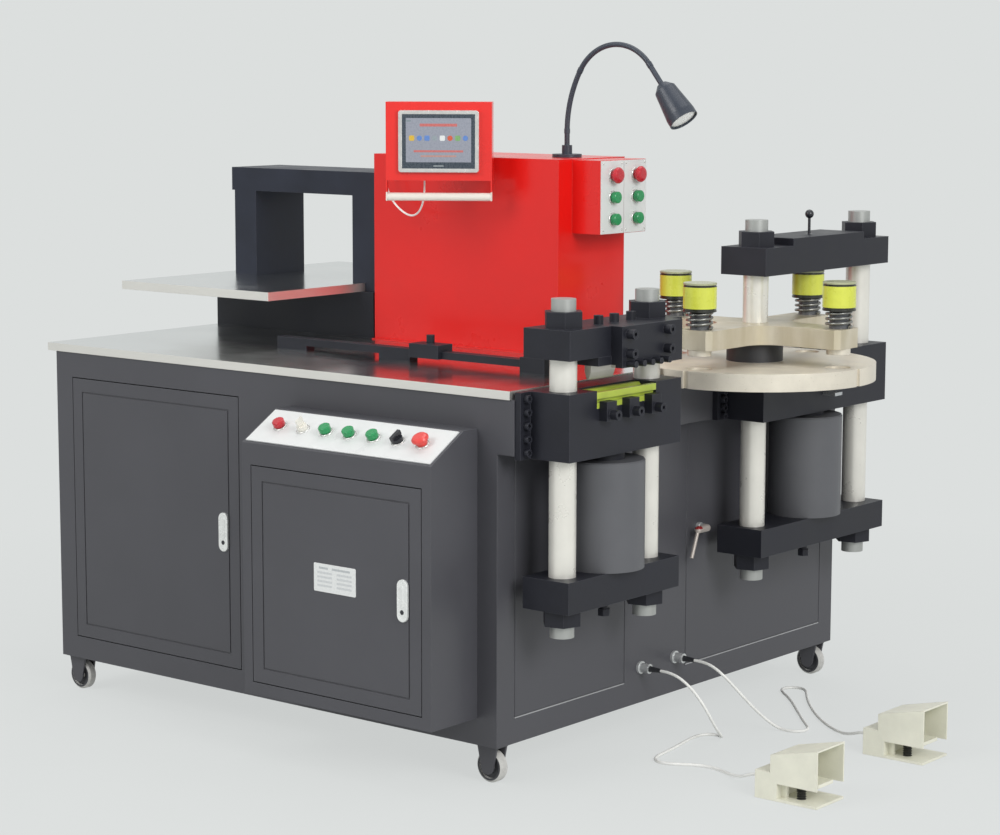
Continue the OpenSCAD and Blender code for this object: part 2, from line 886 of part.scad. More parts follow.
// Local frame on the side pod: +Z points away from the cover
pod_x = cover_x + cover_w + pod_w;
pod_mid_y = cover_y + pod_y + pod_d / 2;
pod_mid_z = pod_low + pod_h / 2;
module on_pod(side, row) translate([pod_x, pod_mid_y + side * pod_d / 4, pod_mid_z + row * pod_row])
  rotate([0, 90, 0]) children();

module panel_plates() color("white") placed() {
  difference() {
    on_slope(box_left + box_w / 2)
      translate([plate_in - box_w / 2, plate_in - slope_len / 2, 0])
        cube([box_w - 2 * plate_in, slope_len - 2 * plate_in, plate_t]);
    for (i = [0 : controls - 1]) at_control(i) translate([0, 0, -over])
      cylinder(d = button_bore, h = plate_t + 2 * over);
  }
  for (i = [0 : controls - 1]) at_control(i) button_ring();
  for (s = [-1, 1]) {
    difference() {
      on_pod(s, 0) translate([-pod_plate_h / 2, -pod_plate_w / 2, 0])
        cube([pod_plate_h, pod_plate_w, plate_t]);
      for (r = [-1 : 1]) on_pod(s, r) translate([0, 0, -over])
        cylinder(d = button_bore, h = plate_t + 2 * over);
    }
    for (r = [-1 : 1]) on_pod(s, r) button_ring();
  }
}

module stop_button() color("firebrick") placed() at_control(0) push_cap();
module key_switch() color("silver") placed() at_control(1) key_lock();
module start_button_1() color("seagreen") placed() at_control(2) push_cap();
module start_button_2() color("seagreen") placed() at_control(3) push_cap();
module start_button_3() color("seagreen") placed() at_control(4) push_cap();
module selector_knob() color("black") placed() at_control(5) turn_knob();
module emergency_button() color("red") placed() at_control(6) mushroom_cap();
module side_stop_front() color("red") placed() on_pod(-1, 1) mushroom_cap();
module side_green_front_upper() color("seagreen") placed() on_pod(-1, 0) push_cap();
module side_green_front_lower() color("seagreen") placed() on_pod(-1, -1) push_cap();
module side_stop_rear() color("red") placed() on_pod(1, 1) mushroom_cap();
module side_green_rear_upper() color("seagreen") placed() on_pod(1, 0) push_cap();
module side_green_rear_lower() color("seagreen") placed() on_pod(1, -1) push_cap();

// Power pack

module power_pack() color("slategray") placed() translate([tank_x, tank_y, floor_gap + sheet + seat]) {
  difference() {
    cube([tank_w, tank_d, tank_h]);
    translate([sheet, sheet, sheet]) cube([tank_w - 2 * sheet, tank_d - 2 * sheet, tank_h]);
  }
  translate([-tank_rim, -tank_rim, tank_h])
    cube([tank_w + 2 * tank_rim, tank_d + 2 * tank_rim, tank_lid]);
  translate([tank_w * motor_share, tank_d / 2, tank_h + tank_lid]) {
    cylinder(d = motor_foot_d, h = motor_foot_h);
    cylinder(d = motor_d - 2 * fin_h, h = motor_h);
    for (k = [0 : motor_fins - 1]) rotate([0, 0, 360 * k / motor_fins])
      translate([0, -fin_w / 2, motor_foot_h + fin_end])
        cube([motor_d / 2, fin_w, motor_h - motor_foot_h - 2 * fin_end]);
    translate([0, 0, motor_h]) cylinder(d = motor_fan_d, h = motor_fan_h);
  }
  translate([tank_w * valve_share, tank_d / 2 - valve_d / 2, tank_h + tank_lid]) {
    cube([valve_w, valve_d, valve_h]);
    for (k = [0 : valve_coils - 1])
      translate([k * coil_pitch + (coil_pitch - coil_w) / 2, (valve_d - coil_w) / 2, valve_h])
        cube([coil_w, coil_w, coil_h]);
  }
}

// Press frames

module hex_nut() difference() {
  cylinder(d = nut_d, h = nut_h, $fn = 6);
  translate([0, 0, -over]) cylinder(d = thread_bore, h = nut_h + 2 * over);
}

module socket_head(h = socket_h, d = socket_d) difference() {
  cylinder(d = d, h = h, $fn = 24);
  translate([0, 0, h / 2]) cylinder(d = socket_key, h = h, $fn = 6);
}

// Two columns with their threads, from the foot nuts to the head nuts
module column_pair(ys, low, shoulder_low, shoulder_top, top) for (y = ys) translate([column_x, y, 0]) {
  translate([0, 0, shoulder_low + seat])
    cylinder(d = column_d, h = shoulder_top - shoulder_low - 2 * seat);
  translate([0, 0, low - nut_h - thread_proud])
    cylinder(d = thread_d, h = top - low + 2 * (nut_h + thread_proud));
}

module beam_nuts(ys, low, top) for (y = ys) translate([column_x, y, 0]) {
  translate([0, 0, top + seat]) rotate([0, 0, nut_turn]) hex_nut();
  translate([0, 0, low - nut_h - seat]) rotate([0, 0, nut_turn]) hex_nut();
}

module thread_holes(ys, low, h) for (y = ys)
  translate([column_x, y, low - over]) cylinder(d = thread_bore, h = h + 2 * over);

module foot_bolt(y, low) translate([column_x, y, low - seat - foot_shank_h]) {
  cylinder(d = foot_shank_d, h = foot_shank_h);
  translate([0, 0, -foot_bolt_h]) cylinder(d = foot_bolt_d, h = foot_bolt_h, $fn = 6);
}

module press_cylinder(y, low, h) translate([column_x, y, low + seat]) difference() {
  union() {
    cylinder(d = cylinder_d, h = h - cyl_rim_h);
    cylinder(d = cylinder_d - 2 * cyl_rim, h = h);
  }
  translate([0, 0, cyl_floor]) cylinder(d = cylinder_d - 2 * cyl_wall, h = h - cyl_floor - cyl_lid);
  translate([0, 0, cyl_floor]) cylinder(d = rod_bore, h = h);
}

// Piston and rod that stand still under their block
module press_rod(y, low, top) translate([column_x, y, low + seat + cyl_floor + piston_lift]) {
  cylinder(d = cylinder_d - 2 * cyl_wall - 2 * run_gap, h = piston_h);
  cylinder(d = rod_d, h = top - low - 2 * seat - cyl_floor - piston_lift);
}

// Block that the columns run in, with its bolting flanges
module guide_block(y, len, low, h) {
  translate([block_x, y, low]) cube([block_t, len, h]);
  translate([block_x, y - flange_w, low]) cube([flange_t, len + 2 * flange_w, h]);
}

module column_bores(ys, low, h) for (y = ys)
  translate([column_x, y, low - over]) cylinder(d = column_bore, h = h + 2 * over);

// Bending press

bend_cols = [bend_col_a, bend_col_b];

module bend_block() color("#202124") placed() {
  difference() {
    guide_block(bend_y, bend_len, bend_low, bend_block_h);
    column_bores(bend_cols, bend_low, bend_block_h);
    translate([die_x - bore_gap, die_y - bore_gap, die_low - bore_gap])
      cube([die_t + over, die_len + 2 * bore_gap, die_h + die_sink + bore_gap + over]);
  }
  press_rod(bend_mid, bend_cyl_low, bend_low);
}

module bend_die() color("yellowgreen") placed() translate([die_x, die_y, die_low]) rotate([90, 0, 0])
  mirror([0, 0, 1]) linear_extrude(die_len) difference() {
    square([die_t, die_h]);
    translate([die_t / 2, die_h])
      polygon([[-vee_w / 2, over], [-vee_w / 2, 0], [0, -vee_h], [vee_w / 2, 0], [vee_w / 2, over]]);
    translate([die_t - slot_h, die_h / 3]) square([slot_h + over, slot_w]);
  }

module at_lugs() for (s = lug_shares)
  translate([block_far + seat, die_y + s * die_len, bend_top - lug_drop]) children();

module flange_bolts(y, low, h) for (k = [0 : flange_bolt_count - 1])
  translate([block_x + flange_t + seat, y, low + h * (2 * k + 1) / (2 * flange_bolt_count)])
    rotate([0, 90, 0]) socket_head(flange_head_h, flange_head_d);

module station_clamps() color("#2b2c30") placed() {
  at_lugs() {
    translate([0, -lug_w / 2, -lug_h]) cube([lug_t, lug_w, lug_h]);
    translate([lug_t + seat, 0, -lug_h * lug_screw_share]) rotate([0, 90, 0]) socket_head();
  }
  flange_bolts(bend_y - flange_w / 2, bend_low, bend_block_h);
  flange_bolts(bend_far + flange_w / 2, bend_low, bend_block_h);
  flange_bolts(punch_y - flange_w / 2, punch_low, punch_block_h);
  flange_bolts(punch_far + flange_w / 2, punch_low, punch_block_h);
}

module bend_columns() color("silver") placed()
  column_pair(bend_cols, bend_beam_low, bend_cyl_low, bend_up_low, bend_up_top);

head_shares = [-0.11, 0.03, 0.18];
head_x_share = 0.64;

module bend_beams() color("#202124") placed() {
  difference() {
    translate([beam_x, bend_y, bend_beam_low]) cube([beam_t, bend_len, bend_lower_h]);
    thread_holes(bend_cols, bend_beam_low, bend_lower_h);
  }
  difference() {
    translate([beam_x, bend_y, bend_up_low]) cube([beam_t, bend_len, bend_upper_h]);
    thread_holes(bend_cols, bend_up_low, bend_upper_h);
  }
  beam_nuts(bend_cols, bend_beam_low, bend_up_top);
  foot_bolt(bend_mid, bend_beam_low);
  for (s = head_shares)
    translate([beam_x + head_x_share * beam_t, bend_mid + s * bend_len, bend_up_top + seat])
      socket_head();
}

module bend_cylinder() color("#3c3e42") placed() press_cylinder(bend_mid, bend_cyl_low, bend_cyl_h);

tool_low = bend_up_low - tool_drop;
tool_face = block_far + tool_t + 2 * seat;
tool_rows = [0.34, 0.81];
tool_cols = [0.1, 0.72];
trim_count = 5;
trim_d = 14;
trim_h = 26;
trim_up = 9;
trim_from = 0.08;
trim_step = 0.14;
holder_gap = 5;
holder_y = die_y + holder_gap;
holder_share = 0.4;
holder_len = holder_share * die_len;

module bend_tool() color("#26272b") placed() {
  translate([block_far + seat, tool_y, tool_low]) cube([tool_t, tool_len, bend_up_top - tool_low]);
  for (r = tool_rows) for (c = tool_cols)
    translate([tool_face, tool_y + c * tool_len, tool_low + r * (bend_up_top - tool_low)])
      rotate([0, 90, 0]) socket_head();
  for (k = [0 : trim_count - 1])
    translate([tool_face, tool_y + (trim_from + k * trim_step) * tool_len, tool_low + trim_up])
      bar_x(trim_d, trim_h);
  translate([die_x, holder_y, bend_up_low - holder_h - seat]) cube([die_t, holder_len, holder_h]);
  translate([die_mid, holder_y, 0]) rotate([90, 0, 0]) mirror([0, 0, 1]) linear_extrude(holder_len)
    polygon([[-blade_tip / 2, blade_low], [blade_tip / 2, blade_low],
      [blade_t / 2, blade_low + blade_neck],
      [blade_t / 2, bend_up_low - holder_h - 2 * seat], [-blade_t / 2, bend_up_low - holder_h - 2 * seat],
      [-blade_t / 2, blade_low + blade_neck]]);
}

// Turret press

punch_cols = [turret_y, punch_col_b];
cheek_y = turret_y + disc_d / 2 + cheek_gap;
latch_y = punch_mid;
latch_z = punch_top - latch_drop;
latch_x = block_far - latch_len + latch_out;

module punch_block() color("#202124") placed() {
  difference() {
    union() {
      guide_block(punch_y, punch_len, punch_low, punch_block_h);
      translate([block_x, cheek_y, punch_top + seat]) cube([block_t, punch_far - cheek_y, cheek_rise - seat]);
    }
    column_bores(punch_cols, punch_low, punch_block_h + cheek_rise);
    translate([latch_x - latch_gap, latch_y - latch_w / 2 - latch_gap, latch_z - latch_gap])
      cube([latch_len, latch_w + 2 * latch_gap, latch_t + 2 * latch_gap]);
  }
  press_rod(punch_mid, punch_cyl_low, punch_low);
}

module index_latch() color("silver") placed()
  translate([latch_x, latch_y - latch_w / 2, latch_z]) cube([latch_len, latch_w, latch_t]);

module punch_columns() color("silver") placed()
  column_pair(punch_cols, punch_beam_low, punch_cyl_low, punch_up_low, punch_up_top);

module punch_beams() color("#202124") placed() {
  difference() {
    translate([beam_x, punch_y, punch_beam_low]) cube([beam_t, punch_len, punch_lower_h]);
    thread_holes(punch_cols, punch_beam_low, punch_lower_h);
  }
  difference() {
    union() {
      translate([beam_x, punch_y, punch_up_low]) cube([beam_t, punch_len, punch_upper_h]);
      translate([beam_x, punch_mid - slab_len / 2, punch_up_low])
        cube([beam_t, slab_len, punch_upper_h + slab_h]);
    }
    thread_holes(punch_cols, punch_up_low, punch_upper_h);
    translate([column_x, punch_mid, punch_up_top + slab_h - knob_pin_h])
      cylinder(d = knob_pin_d + 2 * run_gap, h = knob_pin_h + over);
  }
  beam_nuts(punch_cols, punch_beam_low, punch_up_top);
  foot_bolt(punch_mid, punch_beam_low);
}

module punch_cylinder() color("#3c3e42") placed() press_cylinder(punch_mid, punch_cyl_low, punch_cyl_h);

module lift_knob() color("#26272b") placed() translate([column_x, punch_mid, punch_up_top + slab_h]) {
  translate([0, 0, -knob_pin_h + touch]) cylinder(d = knob_pin_d, h = knob_pin_h);
  cylinder(d = knob_rod_d, h = knob_rod_h);
  translate([0, 0, knob_rod_h]) sphere(d = ball_d);
}

// Turret: die disc, hub and arm plate on the near column
module at_arms() for (a = [0 : 90 : 270]) rotate([0, 0, a]) translate([turret_r, 0, 0]) children();

module arm_outline() {
  for (a = [0, 90]) rotate(a) polygon([
    [-arm_len, arm_chamfer - arm_w / 2], [arm_chamfer - arm_len, -arm_w / 2],
      [arm_len - arm_chamfer, -arm_w / 2],
    [arm_len, arm_chamfer - arm_w / 2], [arm_len, arm_w / 2 - arm_chamfer],
      [arm_len - arm_chamfer, arm_w / 2],
    [arm_chamfer - arm_len, arm_w / 2], [-arm_len, arm_w / 2 - arm_chamfer]]);
  for (a = [0 : 90 : 270]) rotate(a) translate([arm_w / 2, arm_w / 2]) difference() {
    translate([-over, -over]) square(arm_fillet + over);
    translate([arm_fillet, arm_fillet]) circle(r = arm_fillet);
  }
}

module turret() color("#d8d0c0") placed() translate([column_x, turret_y, 0]) {
  difference() {
    translate([0, 0, disc_low]) cylinder(d = disc_d, h = disc_t, $fn = 128);
    translate([0, 0, disc_low - over]) cylinder(d = hub_bore, h = disc_t + 2 * over);
    at_arms() {
      translate([0, 0, disc_low - over]) cylinder(d = die_bore_d, h = disc_t + 2 * over);
      translate([0, 0, disc_top - die_seat_h]) cylinder(d = die_seat_d, h = die_seat_h + over);
    }
    for (a = [0 : 90 : 270]) rotate([0, 0, a])
      translate([disc_d / 2 - notch_h, -notch_w / 2, disc_low - over])
        cube([notch_h + over, notch_w, disc_t + 2 * over]);
  }
  difference() {
    translate([0, 0, disc_top + seat]) cylinder(d = hub_d, h = hub_h - 2 * seat);
    translate([0, 0, disc_top - over]) cylinder(d = hub_bore, h = hub_h + 2 * over);
  }
  difference() {
    union() {
      translate([0, 0, arm_low]) linear_extrude(arm_t) arm_outline();
      at_arms() translate([0, 0, arm_low - collar_h]) cylinder(d = collar_d, h = collar_h + over);
    }
    translate([0, 0, arm_low - over]) cylinder(d = hub_bore, h = arm_t + 2 * over);
    at_arms() translate([0, 0, arm_low - collar_h - over])
      cylinder(d = shank_d + 2 * shank_gap, h = arm_t + collar_h + 2 * over);
  }
}

shank_low = arm_low - collar_h / 4;
tip_low = arm_low - collar_h - touch;

// Punch unit: sleeve, shank and tip turned in one line
module punch_unit() rotate_extrude() difference() {
  polygon([[0, tip_low], [tip_d / 2, tip_low], [tip_d / 2, shank_low], [shank_d / 2, shank_low],
    [shank_d / 2, sleeve_top - sleeve_cap], [sleeve_d / 2 - sleeve_wall, sleeve_top - sleeve_cap],
    [sleeve_d / 2 - sleeve_wall, sleeve_low], [sleeve_d / 2, sleeve_low],
      [sleeve_d / 2, sleeve_top - ring_groove],
    [sleeve_d / 2 - ring_groove, sleeve_top], [0, sleeve_top]]);
  for (z = [sleeve_low + ring_groove_h, sleeve_top - sleeve_cap])
    translate([sleeve_d / 2 - ring_groove, z]) square([ring_groove + over, ring_groove_h]);
}

coil_low = arm_top + wire_d / 2 + touch;
coil_high = sleeve_top - sleeve_cap - wire_d / 2 - touch;
coil_rise = (coil_high - coil_low) / (coil_turns * coil_steps);
coil_points = [for (k = [0 : coil_turns * coil_steps]) let (a = 360 * k / coil_steps)
  [coil_d / 2 * cos(a), coil_d / 2 * sin(a), coil_low + coil_rise * k]];

module on_arm(a) translate([column_x, turret_y, 0]) rotate([0, 0, a]) translate([turret_r, 0, 0])
  children();

module punch_1() color("yellowgreen") placed() on_arm(90) punch_unit();
module punch_2() color("yellowgreen") placed() on_arm(180) punch_unit();
module punch_3() color("yellowgreen") placed() on_arm(270) punch_unit();
module punch_4() color("yellowgreen") placed() on_arm(0) punch_unit();
module spring_1() color("gray") placed() on_arm(90) tube(coil_points, wire_d, coil_sides, straight_up);
module spring_2() color("gray") placed() on_arm(180) tube(coil_points, wire_d, coil_sides, straight_up);
module spring_3() color("gray") placed() on_arm(270) tube(coil_points, wire_d, coil_sides, straight_up);
module spring_4() color("gray") placed() on_arm(0) tube(coil_points, wire_d, coil_sides, straight_up);

// Shear

yoke_x = [shear_x + shear_inset, shear_x + shear_w - shear_near_share * shear_inset - shear_post];
yoke_y = shear_y + (shear_d - yoke_d) / 2;
yoke_low = z_table + yoke_lift;
yoke_beam_low = shelf_top + shear_daylight;

module yoke_slots(low, h) for (x = yoke_x) translate([x - shear_gap, yoke_y - shear_gap, low])
  cube([shear_post + 2 * shear_gap, yoke_d + 2 * shear_gap, h]);

module shear_base() color("#202124") placed() difference() {
  translate([shear_x, shear_y, z_table]) cube([shear_w, shear_d, shear_h]);
  yoke_slots(z_table - over, shear_h + 2 * over);
}

module work_shelf() color("silver") placed() difference() {
  translate([shelf_x, shelf_y, shear_top]) cube([shelf_w, shelf_d, shelf_t]);
  yoke_slots(shear_top - over, shelf_t + 2 * over);
}

module shear_yoke() color("#202124") placed() {
  for (x = yoke_x) translate([x, yoke_y, yoke_low])
    cube([shear_post, yoke_d, yoke_beam_low - yoke_low + over]);
  translate([yoke_x[0] - yoke_head, yoke_y, yoke_beam_low])
    cube([yoke_x[1] - yoke_x[0] + shear_post + yoke_head, yoke_d, shear_beam_h]);
  translate([yoke_x[0] + shear_post, yoke_y + yoke_d - shear_blade_t, yoke_beam_low - shear_blade_h])
    cube([yoke_x[1] - yoke_x[0] - shear_post, shear_blade_t, shear_blade_h + over]);
}

// Ruler

module ruler_bar() color("#2b2c30") placed() translate([ruler_x, ruler_y, 0]) {
  translate([0, 0, ruler_z]) cube([ruler_len, ruler_w, ruler_t]);
  for (s = foot_shares) translate([s * ruler_len, 0, z_table])
    cube([foot_w, ruler_w, ruler_z - z_table + ruler_t / 2]);
  translate([ruler_len - end_w, -touch, z_table]) cube([end_w, end_d, end_h]);
}

module ruler_stop() color("#2b2c30") placed()
  translate([ruler_x + stop_share * ruler_len, ruler_y, ruler_z]) difference() {
  union() {
    translate([0, (ruler_w - stop_d) / 2, -stop_gap]) cube([stop_w, stop_d, ruler_t + stop_h]);
    translate([stop_w / 2, ruler_w / 2, ruler_t + stop_h - stop_gap - over])
      cylinder(d = stop_screw_d * 2, h = stop_screw_h);
  }
  translate([-over, -stop_gap, -stop_gap - over])
    cube([stop_w + 2 * over, ruler_w + 2 * stop_gap, ruler_t + 2 * stop_gap + over]);
}

// Cover, screen and lamp

pivot_y = cover_y - pivot_out;
pivot_drop = 22;
pivot_low_h = 22;
pivot_high_h = 70;
pivot_bite = 2;
arm_z = cover_top - pivot_drop;

module cover() color("red") placed() difference() {
  union() {
    translate([cover_x, cover_y, z_table]) cube([cover_w, cover_d, cover_h]);
    translate([cover_x, cover_y - cover_lip, z_table]) cube([cover_w, cover_lip + over, cover_t]);
    translate([cover_x + cover_w - over, cover_y + pod_y, pod_low]) cube([pod_w + over, pod_d, pod_h]);
    translate([pivot_x - pivot_arm_w / 2, pivot_y, arm_z - pivot_arm_t / 2])
      cube([pivot_arm_w, pivot_out + over, pivot_arm_t]);
    translate([pivot_x, pivot_y, arm_z - pivot_arm_t / 2]) cylinder(d = pivot_arm_w, h = pivot_arm_t);
    translate([pivot_x, pivot_y, arm_z - pivot_arm_t / 2 - pivot_low_h])
      cylinder(d = pivot_d, h = pivot_low_h + pivot_arm_t + pivot_high_h);
  }
  translate([cover_x + cover_t, cover_y + cover_t, z_table - over])
    cube([cover_w - 2 * cover_t, cover_d - 2 * cover_t, cover_h - cover_t + over]);
  translate([cover_x + cover_w + cover_t, cover_y + pod_y + cover_t, pod_low + cover_t])
    cube([pod_w - 2 * cover_t, pod_d - 2 * cover_t, pod_h - 2 * cover_t]);
  for (s = [-1, 1]) for (r = [-1 : 1]) on_pod(s, r) translate([0, 0, -stem_len])
    cylinder(d = button_bore, h = 2 * stem_len);
}

back_in = boss_d / 2 - pivot_bite;

module pivot_boss(h) difference() {
  union() {
    cylinder(d = boss_d, h = h);
    translate([-boss_d / 4, -boss_d / 2, 0]) cube([boss_d / 2, boss_d / 2, h]);
  }
  translate([0, 0, -over]) cylinder(d = pivot_d + 2 * pivot_gap, h = h + 2 * over);
}

module screen_housing() color("red") placed() translate([pivot_x, pivot_y, 0])
  rotate([0, 0, screen_turn]) {
  difference() {
    translate([-screen_w / 2, -back_in - screen_d, screen_z]) cube([screen_w, screen_d, screen_h]);
    translate([screen_t - screen_w / 2, screen_t - back_in - screen_d, screen_z + screen_t])
      cube([screen_w - 2 * screen_t, screen_d - 2 * screen_t, screen_h - 2 * screen_t]);
    translate([-glass_back_w / 2, -back_in - screen_d - over, screen_z + (screen_h - glass_back_h) / 2])
      cube([glass_back_w, screen_t + 2 * over, glass_back_h]);
  }
  for (s = [-1, 1]) translate([s * (screen_w - screen_t) / 2 - screen_t / 2,
    -back_in - screen_d, screen_z - screen_drop - bar_d / 2])
      cube([screen_t, screen_d / 2, screen_drop + bar_d / 2 + over]);
  translate([-screen_w / 2 + over, -back_in - screen_d + bar_d / 2, screen_z - screen_drop])
    bar_x(bar_d, screen_w - 2 * over);
  translate([-glass_w / 2, -back_in - screen_d - glass_t, screen_z + (screen_h - glass_h) / 2])
    cube([glass_w, glass_t + over, glass_h]);
  translate([-glass_back_w / 2, -back_in - screen_d, screen_z + (screen_h - glass_back_h) / 2])
    cube([glass_back_w, glass_back_d, glass_back_h]);
  translate([0, 0, arm_z + pivot_arm_t / 2 + touch]) pivot_boss(pivot_high_h - touch);
  translate([0, 0, arm_z - pivot_arm_t / 2 - pivot_low_h]) pivot_boss(pivot_low_h - touch);
}

module screen_lead() color("white") placed() translate([pivot_x, cover_y, screen_z])
  tube(lead_route, lead_d, cable_sides, loop_side);

lamp_z = cover_top + touch;
neck_z = lamp_base_h + neck_rise;
neck_a = [neck_bend_a * (1 - cos(neck_turn_a)), neck_z + neck_bend_a * sin(neck_turn_a)];
neck_b = neck_a + neck_bend_b * [cos(neck_turn_a), -sin(neck_turn_a)];
neck_last = 180 - neck_turn_a - neck_turn_b;
neck_c = neck_b + neck_bend_b * [cos(neck_last), sin(neck_last)];

// A neck arc stops just short of its ends, inside the ferrules that join the pieces
module neck_arc(c, r, from, turn) let (trim = over / r * 180 / PI)
  translate([c[0], 0, c[1]]) rotate([90, 0, 0]) rotate([0, 0, from + trim])
    rotate_extrude(angle = turn - 2 * trim) translate([r, 0]) circle(d = neck_d);

module ferrule(at, turn) translate([at[0], 0, at[1]]) rotate([0, turn, 0])
  translate([0, 0, -ferrule_h / 2]) cylinder(d = neck_d + 2 * ferrule_t, h = ferrule_h);

module lamp_head() rotate_extrude() polygon([[0, 0], [lamp_tail_d / 2, 0],
  [lamp_rear_d / 2, lamp_rear_len],
  [lamp_d / 2, lamp_len - lamp_rim], [lamp_d / 2, lamp_len], [lamp_d / 2 - lamp_wall, lamp_len],
  [lamp_d / 2 - lamp_wall, lamp_len - lamp_lens_in], [0, lamp_len - lamp_lens_in]]);

module work_lamp() color("#2f333b") placed() translate([lamp_x, lamp_y, lamp_z]) {
  cylinder(d = lamp_base_w, h = lamp_base_h);
  cylinder(d = lamp_base_boss, h = lamp_base_h + lamp_foot_h);
  cylinder(d = neck_d, h = neck_z - over);
  ferrule([0, neck_z], 0);
  neck_arc([neck_bend_a, neck_z], neck_bend_a, 180 - neck_turn_a, neck_turn_a);
  ferrule(neck_a, neck_turn_a);
  neck_arc(neck_b, neck_bend_b, neck_last, neck_turn_b);
  ferrule(neck_c, neck_turn_a + neck_turn_b);
  translate([neck_c[0], 0, neck_c[1]]) rotate([0, neck_turn_a + neck_turn_b, 0]) {
    translate([0, 0, over]) cylinder(d = neck_d, h = neck_end);
    translate([0, 0, neck_end]) lamp_head();
  }
}

// Fittings on the press side

module panel_fittings() color("silver") placed() {
  for (y = plug_y) translate([0, y, plug_z]) {
    bar_x(plug_ring_d, plug_ring_h);
    translate([plug_ring_h, 0, 0]) bar_x(plug_body_d, plug_body_h);
    translate([plug_ring_h + plug_body_h, 0, 0]) cone_x(plug_boot_d, plug_tip_d, plug_boot_h);
  }
  translate([0, tap_y, tap_z]) {
    bar_x(tap_d, tap_len);
    bar_x(tap_collar_d, tap_collar_h);
    translate([tap_len, -tap_body_len, 0]) {
      bar_y(tap_d, tap_body_len);
      sphere(d = tap_d);
      translate([0, tap_body_len, 0]) sphere(d = tap_d);
      rotate([180 - tap_lean, 0, 0]) cylinder(d = tap_pipe_d, h = tap_pipe_len);
    }
  }
}

// Foot switches

// Side view of the hood, drawn in by the wall and past its open ends for the hollow
module pedal_side(inset, past) polygon([[pedal_hood_from + inset, pedal_slot_h - past],
  [pedal_hood_from + inset, pedal_back_h + pedal_slot_h - inset],
  [pedal_len + past, pedal_h - inset], [pedal_len + past, pedal_slot_h - past]]);

module pedal_housing() {
  cube([pedal_len, pedal_w, pedal_base_t]);
  cube([pedal_back_len, pedal_w, pedal_back_h]);
  difference() {
    translate([0, pedal_w, 0]) rotate([90, 0, 0]) linear_extrude(pedal_w) pedal_side(0, 0);
    translate([0, pedal_w - pedal_wall, 0]) rotate([90, 0, 0])
      linear_extrude(pedal_w - 2 * pedal_wall) pedal_side(pedal_wall, over);
  }
  for (s = [-1, 1])
    translate([treadle_x, pedal_w / 2 + s * (treadle_w / 2 + treadle_gap + treadle_ear_t / 2), 0])
      translate([-treadle_pin_d, -treadle_ear_t / 2, 0])
        cube([2 * treadle_pin_d, treadle_ear_t, treadle_z + treadle_pin_d]);
  translate([treadle_x, pedal_w / 2 - treadle_w / 2 - treadle_gap - treadle_ear_t, treadle_z])
    bar_y(treadle_pin_d, treadle_w + 2 * (treadle_gap + treadle_ear_t));
  translate([-gland_len, pedal_w / 2, gland_z]) cone_x(gland_tip_d, gland_d, gland_len + over);
}

module treadle() translate([treadle_x, pedal_w / 2, treadle_z]) difference() {
  union() {
    translate([0, -treadle_w / 2, 0]) bar_y(2 * treadle_t, treadle_w);
    translate([0, -treadle_w / 2, 0]) cube([treadle_len, treadle_w, treadle_t]);
  }
  translate([0, -treadle_w / 2 - over, 0]) bar_y(treadle_pin_d + 2 * axle_gap, treadle_w + 2 * over);
}

module pedal_housings() color("#e6e0cc") placed() for (y = pedal_ys)
  translate([pedal_x, y, 0]) pedal_housing();
module treadle_front() color("#e6e0cc") placed() translate([pedal_x, pedal_ys[0], 0]) treadle();
module treadle_rear() color("#e6e0cc") placed() translate([pedal_x, pedal_ys[1], 0]) treadle();

module foot_cable_front() color("white") placed() tube(front_route, cable_d, cable_sides, straight_up);
module foot_cable_rear() color("white") placed() tube(rear_route, cable_d, cable_sides, straight_up);

cabinet_shell();
table_plate();
caster_forks();
wheels_right();
wheels_left();
cabinet_door();
switch_box();
switch_box_door();
panel_plates();
stop_button();
key_switch();
start_button_1();
start_button_2();
start_button_3();
selector_knob();
emergency_button();
side_stop_front();
side_green_front_upper();
side_green_front_lower();
side_stop_rear();
side_green_rear_upper();
side_green_rear_lower();
power_pack();
bend_block();
bend_die();
station_clamps();
bend_beams();
bend_columns();
bend_cylinder();
bend_tool();
punch_block();
index_latch();
punch_beams();
punch_columns();
punch_cylinder();
lift_knob();
turret();
punch_1();
punch_2();
punch_3();
punch_4();
spring_1();
spring_2();
spring_3();
spring_4();
shear_base();
shear_yoke();
work_shelf();
ruler_bar();
ruler_stop();
cover();
screen_housing();
screen_lead();
work_lamp();
panel_fittings();
pedal_housings();
treadle_front();
treadle_rear();
foot_cable_front();
foot_cable_rear();
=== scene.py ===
# %% [markdown]
# This lesson dresses a busbar machine: a grey cabinet with a steel table, a bending press and a
# turret punch on its right side, a shear behind a red cover, and two foot switches.
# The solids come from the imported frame. We keep their places and sizes, give them finishes,
# and add the small things that a photograph shows, such as locks, rims and a display.

